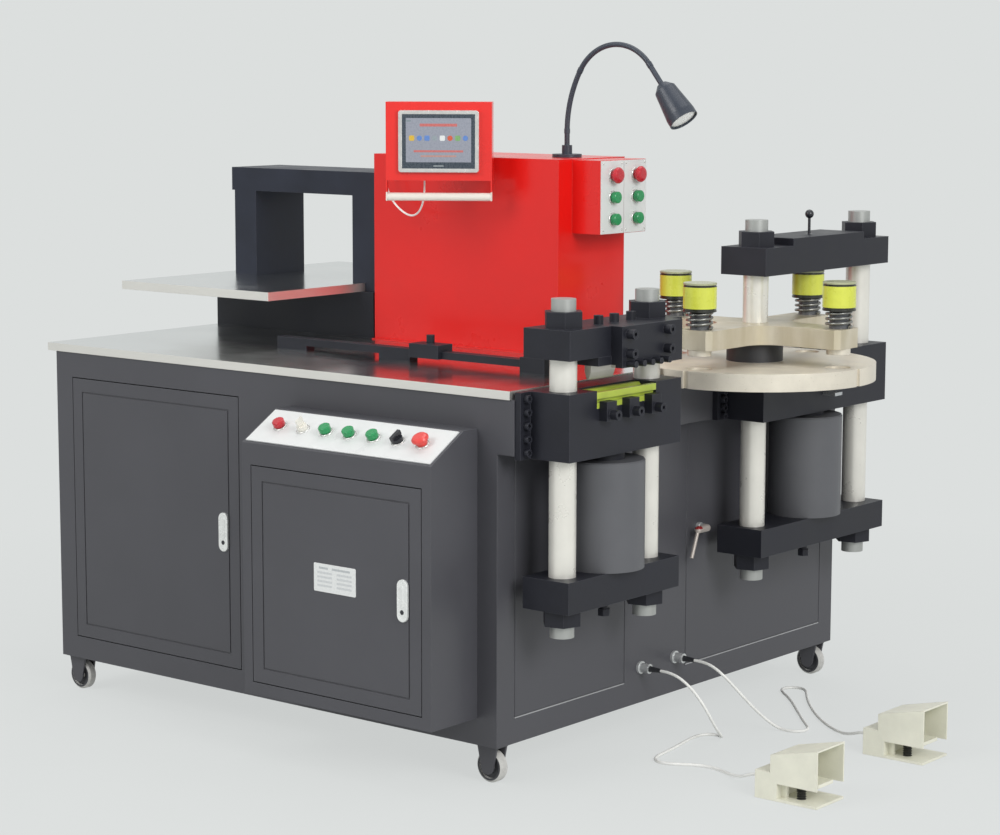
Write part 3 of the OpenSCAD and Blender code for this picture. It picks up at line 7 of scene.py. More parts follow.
# %% Load the solids
import bpy
import bmesh
import numpy as np
from mathutils import Matrix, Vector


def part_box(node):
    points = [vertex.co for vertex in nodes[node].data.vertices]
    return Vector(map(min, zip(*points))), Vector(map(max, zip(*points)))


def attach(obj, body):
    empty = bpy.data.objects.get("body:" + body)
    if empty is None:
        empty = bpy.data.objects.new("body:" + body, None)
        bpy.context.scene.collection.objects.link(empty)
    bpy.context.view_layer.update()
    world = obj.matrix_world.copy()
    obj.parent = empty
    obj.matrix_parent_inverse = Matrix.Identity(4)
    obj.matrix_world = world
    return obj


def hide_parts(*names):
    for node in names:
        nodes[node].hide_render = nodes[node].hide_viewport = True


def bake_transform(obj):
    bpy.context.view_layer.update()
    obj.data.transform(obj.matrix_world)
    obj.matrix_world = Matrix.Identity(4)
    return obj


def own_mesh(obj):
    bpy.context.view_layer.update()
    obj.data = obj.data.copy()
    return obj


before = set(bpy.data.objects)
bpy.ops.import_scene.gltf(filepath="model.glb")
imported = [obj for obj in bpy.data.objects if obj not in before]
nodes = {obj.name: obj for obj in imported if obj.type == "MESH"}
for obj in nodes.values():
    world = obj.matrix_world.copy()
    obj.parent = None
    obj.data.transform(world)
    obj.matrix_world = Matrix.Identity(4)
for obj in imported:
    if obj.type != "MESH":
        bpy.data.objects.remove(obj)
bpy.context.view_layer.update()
scene = bpy.context.scene

# %% [markdown]
# The drawing of the machine counts millimetres from the cabinet's lower right front corner.
# The table plate stands 38 mm past that corner to the right and 4 mm in front of it, so its box
# gives the corner in the frame, and one small function turns drawing millimetres into metres.

# %% The drawing's corner
table_low, table_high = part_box("table_plate")
corner = np.array([table_high[0] - 0.038, table_low[1] + 0.004, 0.0])


def place(points):
    """Drawing millimetres divided by a thousand, plus the cabinet's corner."""
    return np.asarray(points, float) / 1000.0 + corner


print("corner", corner.round(4))

# %% [markdown]
# The camera stands in front, to the right and a little above the table. Its place, its turn and
# its lens were solved from a dozen edges of known size, so straight things line up with the
# photograph. A camera looks along its own minus Z, so its axes are right, up and backwards. The
# focal length was counted in pixels of a picture a thousand wide; the width of the film turns it
# into millimetres. Colours are shown as they are counted, without a film curve.

# %% Camera
azimuth, pitch, roll = 0.682230547, 0.140073007, -0.00197584213
stand = [3567.2825, -4381.616, 1644.890]
film_wide, photo_wide, focal = 36.0, 1000.0, 2567.575
forward = np.array([-np.sin(azimuth) * np.cos(pitch), np.cos(azimuth) * np.cos(pitch), -np.sin(pitch)])
level = np.array([np.cos(azimuth), np.sin(azimuth), 0.0])
down = np.cross(forward, level)
right = np.cos(roll) * level + np.sin(roll) * down
down = np.cos(roll) * down - np.sin(roll) * level
turn = np.eye(4)
turn[:3, 0], turn[:3, 1], turn[:3, 2] = right, -down, -forward
turn[:3, 3] = place(stand)
lens = bpy.data.cameras.new("camera")
lens.sensor_fit = "HORIZONTAL"
lens.sensor_width = film_wide
lens.lens = film_wide * focal / photo_wide
lens.clip_end = 60.0
camera = bpy.data.objects.new("camera", lens)
scene.collection.objects.link(camera)
camera.matrix_world = Matrix(turn.tolist())
scene.camera = camera
scene.view_settings.view_transform = "Standard"
print("camera at", turn[:3, 3].round(3), "lens", round(lens.lens, 2))

# %% [markdown]
# Every new piece here is a grid of points: rows and columns worked out as whole arrays, joined by
# four-sided faces. A helper turns one or more such grids into a mesh, merges the points where a
# grid closes on itself, and checks that the faces point outwards by the sign of the volume they
# sweep, or by a direction that the caller names for a flat patch. Points closer than a thousandth
# of a millimetre are welded, and an edge that turns by more than forty degrees stays sharp.

# %% From grids to a piece
weld, speck, crease = 1e-6, 1e-7, np.radians(40.0)


def quads_of(grid):
    """Each cell of a grid becomes one face, and the last column joins the first."""
    rows, columns = grid.shape[:2]
    number = np.arange(rows * columns).reshape(rows, columns)
    after = np.roll(number, -1, axis=1)
    corners = (number[:-1], after[:-1], after[1:], number[1:])
    return np.stack(corners, -1).reshape(-1, 4)


def faces_out(points, quads, out=None):
    """The faces, turned over if their sweep about the middle, or their lean towards out, is negative."""
    a, b, c, d = (points[quads[:, k]] for k in range(4))
    lean = np.cross(c - a, d - b)
    middle = (a + b + c + d) / 4
    outwards = middle - points.mean(0) if out is None else np.asarray(out, float)
    return quads if (lean * outwards).sum() >= 0 else quads[:, ::-1]


def patch(grid, out=None, tint=(1.0, 1.0, 1.0)):
    """One grid as points, faces and a tint that a finish may read."""
    points = np.asarray(grid, float).reshape(-1, 3)
    return points, faces_out(points, quads_of(grid), out), tint


def piece(name, patches, surface, body):
    """Patches joined into one mesh with a tint on every point, riding on a body unless that is None."""
    starts = np.cumsum([0] + [len(p[0]) for p in patches])
    points = np.concatenate([p[0] for p in patches])
    quads = np.concatenate([p[1] + s for p, s in zip(patches, starts)])
    tints = np.concatenate([np.tile(np.append(p[2], 1.0), (len(p[0]), 1)) for p in patches])
    mesh = bpy.data.meshes.new(name)
    mesh.from_pydata(points.tolist(), [], quads.tolist())
    colours = mesh.color_attributes.new("tint", "FLOAT_COLOR", "POINT")
    colours.data.foreach_set("color", tints.astype(np.float32).ravel())
    work = bmesh.new()
    work.from_mesh(mesh)
    bmesh.ops.remove_doubles(work, verts=work.verts, dist=weld)
    bmesh.ops.dissolve_degenerate(work, edges=work.edges, dist=speck)
    work.to_mesh(mesh)
    work.free()
    mesh.shade_smooth()
    mesh.set_sharp_from_angle(angle=crease)
    mesh.materials.append(surface)
    thing = bpy.data.objects.new(name, mesh)
    scene.collection.objects.link(thing)
    if body:
        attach(thing, body)
    print(name, len(mesh.polygons), "faces")
    return thing


print("grid helpers ready")

# %% [markdown]
# Three ways to draw a grid are enough for this machine. A turned shape spins a profile about an
# axis, as on a lathe. A framed shape carries a profile round a rounded rectangle, which also
# gives a lock's capsule when the corners meet. A carried tube follows a path with a radius for
# each step. The path of a lead is led by the drawing's points with an even bend between them.

# %% Shapes: turned, framed, carried
steep, least_corner = 0.9, 1e-5


def across(axis):
    """An axis at unit length, and two directions square to it and to each other."""
    axis = np.asarray(axis, float) / np.linalg.norm(axis)
    side = np.cross(axis, [0.0, 0.0, 1.0] if abs(axis[2]) < steep else [0.0, 1.0, 0.0])
    side /= np.linalg.norm(side)
    return axis, side, np.cross(axis, side)


def turned(profile, at, axis, steps=40):
    """Profile of (radius, height): each point is at plus height along the axis plus radius round it."""
    axis, u, v = across(axis)
    profile = np.asarray(profile, float) / 1000.0
    t = np.linspace(0, 2 * np.pi, steps, endpoint=False)
    ring = np.cos(t)[:, None] * u + np.sin(t)[:, None] * v
    return np.asarray(at) + profile[:, 1, None, None] * axis + profile[:, 0, None, None] * ring


def framed(profile, at, wide, high, out, size, corner_r, steps=8):
    """Profile of (inset, rise) round a rounded rectangle: the corner's radius shrinks by the inset until
    it is used up, then the straight sides move in."""
    profile = np.asarray(profile, float) / 1000.0
    half = np.asarray(size, float) / 2000.0
    inset, rise = profile[:, 0, None], profile[:, 1, None]
    radius = np.maximum(corner_r / 1000.0 - inset, least_corner)
    t = (np.linspace(0, np.pi / 2, steps)[None, :] + np.arange(4)[:, None] * np.pi / 2).ravel()
    sx = np.repeat([1, -1, -1, 1], steps)
    sy = np.repeat([1, 1, -1, -1], steps)
    x = sx * np.maximum(half[0] - inset - radius, 0) + radius * np.cos(t)
    y = sy * np.maximum(half[1] - inset - radius, 0) + radius * np.sin(t)
    wide, high, out = (np.asarray(d, float) for d in (wide, high, out))
    return np.asarray(at) + x[..., None] * wide + y[..., None] * high + rise[..., None] * out


def smooth_path(points, steps=6):
    """An even curve led by the points from the first to the last: each place is a blend of four
    neighbours by cubic weights that add up to one."""
    p = np.asarray(points, float)
    p = np.concatenate([2 * p[:1] - p[1:2], p, 2 * p[-1:] - p[-2:-1]])
    t = np.linspace(0, 1, steps, endpoint=False)[None, :, None]
    weights = ((1 - t)**3, 3 * t**3 - 6 * t**2 + 4, 1 + 3 * t + 3 * t**2 - 3 * t**3, t**3)
    curve = sum(w * p[k:len(p) - 3 + k, None] for k, w in enumerate(weights)) / 6
    return np.concatenate([curve.reshape(-1, 3), p[-2:-1]])


def carried(path, radius, up, sides):
    """A round section carried along a path: at each step a ring of the given radius square to the path,
    closed to a point at both ends."""
    path = np.asarray(path, float)
    along = np.gradient(path, axis=0)
    along /= np.linalg.norm(along, axis=1)[:, None]
    side = np.cross(along, np.asarray(up, float))
    side /= np.linalg.norm(side, axis=1)[:, None]
    lift = np.cross(side, along)
    t = np.linspace(0, 2 * np.pi, sides, endpoint=False)
    ring = np.cos(t)[None, :, None] * side[:, None] + np.sin(t)[None, :, None] * lift[:, None]
    radius = np.broadcast_to(np.asarray(radius, float), (len(path),))
    tube = path[:, None] + radius[:, None, None] * ring
    ends = [np.repeat(path[:1, None], sides, 1), tube, np.repeat(path[-1:, None], sides, 1)]
    return np.concatenate(ends)


print("shape helpers ready")

# %% [markdown]
# A finish is a node material, and a few short helpers keep its wiring easy to read: one makes a node,
# one feeds a socket, one blends two colours, one carries a number from one range to another, and one
# does a sum. Noise seldom leaves the range from 0.3 to 0.7, so a number that follows a noise is
# spread out from that range.

# %% Helpers for finishes
noise_range = (0.3, 0.7)


def linear(hex_colour):
    """A written colour such as 48484c as the linear light that the shader counts in."""
    c = np.array([int(hex_colour[k:k + 2], 16) for k in (0, 2, 4)]) / 255.0
    return np.where(c <= 0.04045, c / 12.92, ((c + 0.055) / 1.055) ** 2.4)


def blank(name):
    """A new node material, its tree and its main shader."""
    made = bpy.data.materials.new(name)
    made.use_nodes = True
    return made, made.node_tree, made.node_tree.nodes["Principled BSDF"]


def set_values(thing, **values):
    """A node with its sockets set by name."""
    for name, value in values.items():
        thing.inputs[name.replace("_", " ")].default_value = value
    return thing


def node(tree, kind, **values):
    """A new node with its sockets set by name."""
    return set_values(tree.nodes.new(kind), **values)


def feed(tree, socket, value):
    """Link a socket to the output of another node, or set it to a fixed value."""
    if isinstance(value, bpy.types.NodeSocket):
        tree.links.new(value, socket)
    else:
        socket.default_value = value


def result(tree, operation, *values):
    """The result of one sum on outputs of other nodes or fixed numbers."""
    step = tree.nodes.new("ShaderNodeMath")
    step.operation = operation
    for socket, value in zip(step.inputs, values):
        feed(tree, socket, value)
    return step.outputs[0]


def blend_colours(tree, factor, first, second):
    """A colour between two, each the output of a node or a fixed colour."""
    mix = tree.nodes.new("ShaderNodeMix")
    mix.data_type = "RGBA"
    tree.links.new(factor, mix.inputs[0])
    for socket, value in ((mix.inputs[6], first), (mix.inputs[7], second)):
        feed(tree, socket, value if isinstance(value, bpy.types.NodeSocket) else (*value, 1.0))
    return mix.outputs[2]


def spread_out(tree, value, low, high, to_low, to_high):
    """A number carried from one range to another and held at its ends."""
    fit = node(tree, "ShaderNodeMapRange", From_Min=low, From_Max=high, To_Min=to_low, To_Max=to_high)
    tree.links.new(value, fit.inputs["Value"])
    return fit.outputs["Result"]


def by_noise(tree, noise, low=0.0, high=1.0):
    """A number from low to high that follows a noise."""
    return spread_out(tree, noise.outputs["Fac"], *noise_range, low, high)


def coordinates(tree, stretch=(1.0, 1.0, 1.0)):
    """The piece's own metres, stretched along an axis where a grain runs."""
    where = tree.nodes.new("ShaderNodeTexCoord")
    scale = node(tree, "ShaderNodeMapping", Scale=stretch)
    tree.links.new(where.outputs["Object"], scale.inputs["Vector"])
    return where, scale.outputs["Vector"]


print("helpers for finishes ready")

# %% [markdown]
# Two clouds of noise on Object coordinates do most of the work of a finish: a slow one shifts the
# colour and the gloss as handling and age do, and a fine one gives the surface its tooth through a
# bump. Paint, oxide, ground steel and plastic differ in the numbers. A rounded edge catches light on
# every real plate, so a bevel in the shading softens the corners, and the gap between the bevelled and
# the flat direction marks the edges that a finish paints lighter: partly wear, partly a painted
# highlight where the edges catch light.

# %% The finish maker
least_rough, coat_rough, fleck_edge = 0.02, 0.12, 0.08
still_flat, fully_bent, most_wear_and_highlight = 0.97, 0.80, 0.55


def wear_and_highlight_share(tree, round_edge):
    """Nothing on a flat face, rising to about a half as the rounded direction leaves the flat one."""
    flat = tree.nodes.new("ShaderNodeNewGeometry")
    facing = tree.nodes.new("ShaderNodeVectorMath")
    facing.operation = "DOT_PRODUCT"
    tree.links.new(round_edge.outputs["Normal"], facing.inputs[0])
    tree.links.new(flat.outputs["Normal"], facing.inputs[1])
    return spread_out(tree, facing.outputs["Value"], still_flat, fully_bent, 0.0, most_wear_and_highlight)


def finish(name, colour, rough, metal=0.0, vary=0.10, cloud=5.0, tooth=600.0, depth=0.00012,
           gloss_vary=0.08, stretch=(1.0, 1.0, 1.0), edge_wear_and_highlight=None, edge=0.0012, fleck=None,
           fleck_share=0.6, coat=0.0, specular=0.5):
    """Colour and gloss shifted by slow noise, tooth by fine noise, and rounded edges that a given colour
    paints lighter: partly wear, partly a painted highlight.
    """
    made, tree, shader = blank(name)
    set_values(shader, Metallic=metal, Coat_Weight=coat, Coat_Roughness=coat_rough,
               Specular_IOR_Level=specular)
    base = linear(colour)
    where, grain = coordinates(tree, stretch)
    slow = node(tree, "ShaderNodeTexNoise", Scale=cloud, Detail=5.0, Roughness=0.6)
    fine = node(tree, "ShaderNodeTexNoise", Scale=tooth, Detail=3.0, Roughness=0.6)
    tree.links.new(where.outputs["Object"], slow.inputs["Vector"])
    tree.links.new(grain, fine.inputs["Vector"])
    dark, light = base * (1 - vary), np.minimum(base * (1 + vary), 1.0)
    out = blend_colours(tree, by_noise(tree, slow), dark, light)
    if fleck:
        share = spread_out(tree, fine.outputs["Fac"], fleck_share, fleck_share + fleck_edge, 0.0, 1.0)
        out = blend_colours(tree, share, out, linear(fleck))
    bump = node(tree, "ShaderNodeBump", Strength=1.0, Distance=depth)
    tree.links.new(fine.outputs["Fac"], bump.inputs["Height"])
    if edge:
        round_edge = node(tree, "ShaderNodeBevel", Radius=edge)
        round_edge.samples = 4
        tree.links.new(round_edge.outputs["Normal"], bump.inputs["Normal"])
        # Edges painted lighter: partly wear, partly a painted highlight where they catch light.
        if edge_wear_and_highlight:
            out = blend_colours(tree, wear_and_highlight_share(tree, round_edge), out, linear(edge_wear_and_highlight))
    tree.links.new(out, shader.inputs["Base Color"])
    tree.links.new(bump.outputs["Normal"], shader.inputs["Normal"])
    gloss = by_noise(tree, slow, max(rough - gloss_vary, least_rough), rough + gloss_vary)
    tree.links.new(gloss, shader.inputs["Roughness"])
    return made


print("finish maker ready")

# %% [markdown]
# Some solids hold more than one material, so a finish can change by place. A band marks what lies
# between two places on an axis, and two bands together mark a box. Inside it the colour, the gloss
# or the metal is mixed towards another value.

# %% Finishes by place
def along_axis(tree, kind, axis):
    """One axis of a piece: of its own coordinates for Object, of the way a face looks for Normal."""
    spot = tree.nodes.new("ShaderNodeTexCoord")
    split = tree.nodes.new("ShaderNodeSeparateXYZ")
    tree.links.new(spot.outputs[kind], split.inputs[0])
    return split.outputs[axis]


def band(tree, axis, low, high):
    """One between two places on an axis of the piece's own coordinates, zero elsewhere."""
    middle, half = (low + high) / 2, (high - low) / 2
    return result(tree, "COMPARE", along_axis(tree, "Object", axis), middle, half)


def both(tree, first, second):
    """One where two bands overlap."""
    return result(tree, "MULTIPLY", first, second)


def fed_by(socket):
    """What a socket is fed by: the output that it is linked to, or its fixed value."""
    return socket.links[0].from_socket if socket.is_linked else socket.default_value


def recolour(made, where, colour=None, rough=None, metal=None):
    """Another colour, gloss or metal inside a band; outside it the finish stays as it is."""
    tree = made.node_tree
    base, gloss, metallic = (tree.nodes["Principled BSDF"].inputs[s]
                             for s in ("Base Color", "Roughness", "Metallic"))
    if colour is not None:
        tree.links.new(blend_colours(tree, where, fed_by(base), linear(colour)), base)
    for socket, new in ((gloss, rough), (metallic, metal)):
        if new is not None:
            mix = tree.nodes.new("ShaderNodeMix")
            tree.links.new(where, mix.inputs[0])
            feed(tree, mix.inputs[2], fed_by(socket))
            mix.inputs[3].default_value = new
            tree.links.new(mix.outputs[0], socket)


def dress(made, *names):
    """Give a finish to solids by name."""
    for name in names:
        slots = nodes[name].data.materials
        slots.clear()
        slots.append(made)
    print(made.name, "on", len(names), "solids")


print("bands ready")

# %% [markdown]
# Two white rubber leads run from the plugs on the cabinet's side to the foot switches. They are
# laid as the photograph shows them: a short drop from the plug, a loop on the floor, and a run to
# the back of each switch. The path repeats the drawing's points, and the whole lead is in sight,
# so the length of the path is the length of the lead. A thin white lead also loops under the
# display; it is held by the cover at one end and by the swinging housing at the other, but here it
# rides on no body and stays where it is laid. Its points are counted from a place behind the display's
# pivot.

# %% Leads
front_route = [
    [62, 549, 178], [84, 549, 178], [112, 550, 172], [138, 556, 154], [160, 567, 126], [173, 584, 92],
    [176, 608, 56], [171, 638, 27], [164, 670, 5], [139, 688, 4], [110, 678, 4], [101, 644, 4],
    [107, 600, 4], [117, 552, 4], [126, 500, 4], [131, 458, 4], [137, 422, 4], [158, 396, 4],
    [194, 398, 4], [230, 424, 4], [270, 441, 4], [312, 436, 4], [350, 416, 5], [388, 394, 10],
    [422, 377, 21], [448, 369, 34], [470, 369, 34]]
rear_route = [
    [62, 691, 178], [84, 691, 178], [112, 690, 174], [140, 693, 158], [162, 706, 132], [176, 734, 98],
    [186, 770, 62], [198, 804, 30], [218, 828, 6], [250, 828, 4], [276, 840, 4], [282, 868, 4],
    [262, 896, 4], [228, 930, 4], [188, 976, 4], [146, 1024, 4], [104, 1072, 4], [62, 1116, 4],
    [24, 1148, 4], [2, 1176, 4], [14, 1210, 4], [50, 1216, 4], [76, 1184, 4], [106, 1138, 4],
    [146, 1086, 4], [190, 1034, 4], [238, 984, 4], [288, 940, 4], [336, 906, 4], [382, 872, 10],
    [420, 846, 22], [448, 833, 34], [470, 833, 34]]
pivot = np.array([-599.92, 514.0, 0.0])
lead_zero = np.array([pivot[0], 598.0, 1339.0])
lead_route = lead_zero + np.array([
    [-17, -128, -0.4], [-18, -127, -16], [-21, -125, -38], [-32, -118, -62], [-54, -105, -82],
    [-84, -86, -93], [-116, -66, -97], [-148, -50, -94], [-178, -42, -82], [-203, -40, -62],
    [-219, -40, -36], [-226, -36, -10], [-227, -20, 6], [-226, 0, 8]])
foot_thick, display_thick = 0.007, 0.005
rubber_white = finish("rubber_white", "f8f8f4", 0.42, vary=0.05, cloud=40.0, tooth=900.0, depth=0.0001,
                      edge=0.0)


def lay_lead(name, route, diameter, up, stands_for, body):
    """A tube along the smooth path of a route; its length is the sum of the path's steps."""
    path = place(smooth_path(route))
    length = np.linalg.norm(np.diff(path, axis=0), axis=1).sum()
    tube = piece(name, [patch(carried(path, diameter / 2, up, 14))], rubber_white, body)
    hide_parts(stands_for)
    print(name, "is", round(length, 3), "m long")
    return tube, path, length


for name, route in (("foot_lead_front", front_route), ("foot_lead_rear", rear_route)):
    tube, path, length = lay_lead(name, route, foot_thick, (0, 0, 1), name.replace("lead", "cable"),
                                  "machine_frame")
tube, path, length = lay_lead("display_lead", lead_route, display_thick, (0.7, 0.71, 0), "screen_lead",
                              None)
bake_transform(tube)

# %% [markdown]
# The cabinet is sheet steel in a satin grey paint with a slight orange peel. Its doors, the switch
# box, the box's door and the wheel forks share that paint. Black blocks, beams and clamps carry an
# oxide, and its edges are painted a lighter grey: partly rubbed wear, partly a painted highlight where
# the edges catch light. The cabinet paint, the cylinders' paint and the tank's paint lighten their
# edges the same way. The bending blade is ground bright, and because it shares a solid with its black
# carrier, the finish picks it out by place. The cylinders have a finely textured paint.

# %% Paint and oxide
cabinet_paint = finish("cabinet_paint", "4b4b50", 0.40, vary=0.07, cloud=3.0, tooth=420.0, depth=0.00010,
                       edge_wear_and_highlight="67676c", edge=0.0022, specular=0.45)
dress(cabinet_paint, "cabinet_shell", "cabinet_door", "switch_box", "switch_box_door", "caster_forks")
# The oxide's lighter edge colour is a painted highlight where edges catch light, partly rubbed wear.
oxide = dict(rough=0.44, vary=0.18, cloud=9.0, tooth=520.0, depth=0.00014, edge_wear_and_highlight="686973", edge=0.0016,
             fleck="2c2d36", fleck_share=0.60, specular=0.30)
black_oxide = finish("black_oxide", "22232a", **oxide)
dress(black_oxide, "bend_block", "station_clamps", "bend_beams", "punch_block", "punch_beams",
      "shear_base", "ruler_bar", "ruler_stop")
yoke_oxide = finish("yoke_oxide", "282c38", **oxide)
dress(yoke_oxide, "shear_yoke")
tool_oxide = finish("tool_oxide", "22232a", **oxide)
blade_top, spare = 0.9619, 0.01
tool_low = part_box("bend_tool")[0]
block_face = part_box("bend_block")[1][0]
tree = tool_oxide.node_tree
blade = both(tree, band(tree, "X", tool_low[0] - spare, block_face),
             band(tree, "Z", tool_low[2] - spare, blade_top))
recolour(tool_oxide, blade, "b9b6ae", 0.28, 0.8)
dress(tool_oxide, "bend_tool")
crinkle_paint = finish("crinkle_paint", "5a5b5f", 0.50, vary=0.08, cloud=7.0, tooth=420.0, depth=0.00022,
                       edge_wear_and_highlight="66676c", edge=0.0014)
dress(crinkle_paint, "bend_cylinder", "punch_cylinder")
tank_paint = finish("tank_paint", "5d666c", 0.45, vary=0.08, cloud=5.0, tooth=420.0, edge_wear_and_highlight="7a8186",
                    edge=0.0016)
dress(tank_paint, "power_pack")

# %% [markdown]
# The cover over the shear and the box round the display are painted a strong gloss red. Only a
# faint peel breaks the reflections. The rail under the display is cream, so the same red finish
# turns cream below the box, where only the rail is.

# %% Red paint and the cream rail
# The lighter red on the edges is partly wear, partly a painted highlight.
gloss_red = dict(rough=0.30, vary=0.05, cloud=3.0, tooth=300.0, depth=0.00010, edge_wear_and_highlight="f04a46", coat=0.18)
red_paint = finish("red_paint", "e1150f", edge=0.0020, **gloss_red)
dress(red_paint, "cover")
rail_low, rail_high = 1.25, 1.311
housing_paint = finish("housing_paint", "e52a24", edge=0.0016, **gloss_red)
recolour(housing_paint, band(housing_paint.node_tree, "Z", rail_low, rail_high), "e8e2d8", 0.34)
dress(housing_paint, "screen_housing")

# %% [markdown]
# The table and the work shelf are ground and mirror the cover, with a milled pale edge: a face that
# doesn't look up belongs to the edge, so the finish reads the direction of the face. The press columns
# are hard chrome with duller, darker screwed ends at top and bottom: partly their own dull steel, partly
# painted shade by the nuts and beams.

# %% Ground steel and chrome
table_steel = finish("table_steel", "d9dbdb", 0.20, metal=1.0, vary=0.06, cloud=4.0, tooth=160.0,
                     depth=0.00003, gloss_vary=0.07, stretch=(0.05, 1.0, 1.0), edge=0.0012)
tree = table_steel.node_tree
upward = along_axis(tree, "Normal", "Z")
looks_up, looks_aside = 0.7, 0.3
recolour(table_steel, spread_out(tree, upward, looks_up, looks_aside, 0.0, 1.0), "e6e4df")
gloss = tree.nodes["Principled BSDF"].inputs["Roughness"]
rougher = spread_out(tree, upward, looks_up, looks_aside, 0.0, 0.30)
tree.links.new(result(tree, "ADD", fed_by(gloss), rougher), gloss)
dress(table_steel, "table_plate", "work_shelf")
thread_and_shade_reach = 0.035
for name in ("bend_columns", "punch_columns"):
    chrome = finish(name + "_chrome", "e4e2da", 0.30, metal=0.30, vary=0.04, cloud=12.0, tooth=500.0,
                    depth=0.00001, gloss_vary=0.05, stretch=(1.0, 1.0, 6.0), edge=0.0)
    for column_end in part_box(name):
        threads_and_shade = band(chrome.node_tree, "Z", column_end[2] - thread_and_shade_reach, column_end[2] + thread_and_shade_reach)
        # Partly painted shade: the screwed ends are made duller and darker, by their own steel and by
        # the shade of the nuts and beams.
        recolour(chrome, threads_and_shade, "a9aba8", 0.42, 0.5)
    dress(chrome, name)

# %% [markdown]
# The turret is turned and slightly yellowed by oil, so it looks cream, and its edges are painted
# lighter:
# partly wear, partly a painted highlight. Its arms are painted darker in streaks, a painted shade for
# their sides that face away from the light, and its hub between the disc and the arms is dark grey; the
# finish picks both out by place. The latch is zinc plated.

# %% Turret and latch
turret_steel = finish("turret_steel", "e0d9ca", 0.40, metal=0.40, vary=0.09, cloud=10.0, tooth=260.0,
                      depth=0.00010, fleck="b5a994", fleck_share=0.66, edge_wear_and_highlight="efe9dc", edge=0.0016)
turret_low, turret_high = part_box("turret")
axle_x, axle_y = (turret_low[0] + turret_high[0]) / 2, (turret_low[1] + turret_high[1]) / 2
disc_top, arm_low, arm_high, hub_half = 0.9083, 0.9548, 1.02, 0.0695
tree = turret_steel.node_tree
hub_square = both(tree, band(tree, "X", axle_x - hub_half, axle_x + hub_half),
                  band(tree, "Y", axle_y - hub_half, axle_y + hub_half))
recolour(turret_steel, both(tree, hub_square, band(tree, "Z", disc_top, arm_low)), "2b2c30", 0.5, 0.0)
streaks = node(tree, "ShaderNodeTexNoise", Scale=22.0, Detail=4.0)
tree.links.new(coordinates(tree, (1.0, 1.0, 0.3))[1], streaks.inputs["Vector"])
arm_shade_streaks = by_noise(tree, streaks, 0.4, 1.0)
# Painted shade: the arms' band is darkened, in streaks, for the sides that face away from the light.
recolour(turret_steel, both(tree, band(tree, "Z", arm_low, arm_high), arm_shade_streaks), "bfb59c")
dress(turret_steel, "turret")
zinc = finish("zinc", "c4c6c8", 0.30, metal=0.9, vary=0.12, cloud=30.0, tooth=700.0, depth=0.00005,
              edge=0.0008)
dress(zinc, "index_latch")

# %% [markdown]
# A coil spring on each arm pushes its punch back up. A real spring shortens as the punch goes down;
# here the coil is drawn again as a wire on a helix at its full height and rides on the turret, and it
# is not squashed while the punch slides.

# %% Springs
spring_steel = finish("spring_steel", "8a8a86", 0.30, metal=0.85, vary=0.15, cloud=60.0, tooth=800.0,
                      edge=0.0)
turns, turn_steps, wire_r, stroke = 8, 24, 0.0035, 0.040
climb = np.linspace(0.0, 1.0, turns * turn_steps + 1)
angle = 2 * np.pi * turns * climb
for k in (1, 2, 3, 4):
    low, high = (np.array(c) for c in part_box(f"spring_{k}"))
    middle, tall = (low + high) / 2, high[2] - low[2]
    coil_r = (high[0] - low[0]) / 2 - wire_r
    helix = np.stack([middle[0] + coil_r * np.cos(angle), middle[1] + coil_r * np.sin(angle),
                      low[2] + wire_r + (tall - 2 * wire_r) * climb], -1)
    coil = piece(f"coil_{k}", [patch(carried(helix, wire_r, (0, 0, 1), 10))], spring_steel, "turret")
    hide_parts(f"spring_{k}")
    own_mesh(coil)

# %% [markdown]
# The plugs and the drain tap share one solid. The plugs' tails are dark rubber boots, and the tap has
# a dull body and spout with a dab of dark red on its elbow, so the finish changes by place.

# %% Plugs and tap
fittings = finish("fittings", "cfd1d1", 0.30, metal=0.55, vary=0.12, cloud=30.0, tooth=700.0,
                  depth=0.00005, edge=0.0008)
boots_from, tap_from, outmost = corner[0] + 0.0302, corner[0] + 0.0165, corner[0] + 0.2
plugs_top, tap_low, tap_high, elbow_low = 0.3, 0.40, 0.6, 0.4925
elbow_y, elbow_half = corner[1] + 0.750, 0.010
tree = fittings.node_tree
boots = both(tree, band(tree, "Z", 0.0, plugs_top), band(tree, "X", boots_from, outmost))
recolour(fittings, boots, "26272b", 0.5, 0.0)
tap = both(tree, band(tree, "Z", tap_low, tap_high), band(tree, "X", tap_from, outmost))
recolour(fittings, tap, "bdb4ad", 0.38, 0.3)
elbow = both(tree, band(tree, "Y", elbow_y - elbow_half, elbow_y + elbow_half),
             band(tree, "Z", elbow_low, tap_high))
recolour(fittings, elbow, "8a2022", 0.40, 0.0)
dress(fittings, "panel_fittings")

# %% [markdown]
# The punches stand in yellow-green sleeves with a thin black ring at the top and the bottom and a
# grey cap, and a steel shank shows below. All four share one finish that picks its colour by height
# on the piece's own coordinates, so the bands move with the punch. The bending die has the same
# yellow-green paint.

# %% Sleeves and die
sleeve_paint = finish("sleeve_paint", "d0d650", 0.30, vary=0.06, cloud=30.0, tooth=500.0, depth=0.00006,
                      edge=0.0008, coat=0.2)
shank_top, low_ring_top, high_ring_low, high_ring_top, cap_top = 1.0448, 1.0532, 1.1042, 1.1092, 1.2
for low, high, tone in ((0.0, shank_top, "5a5c60"), (shank_top, low_ring_top, "26271f"),
                        (high_ring_low, high_ring_top, "23241e"), (high_ring_top, cap_top, "a4a886")):
    recolour(sleeve_paint, band(sleeve_paint.node_tree, "Z", low, high), tone)
dress(sleeve_paint, "punch_1", "punch_2", "punch_3", "punch_4")
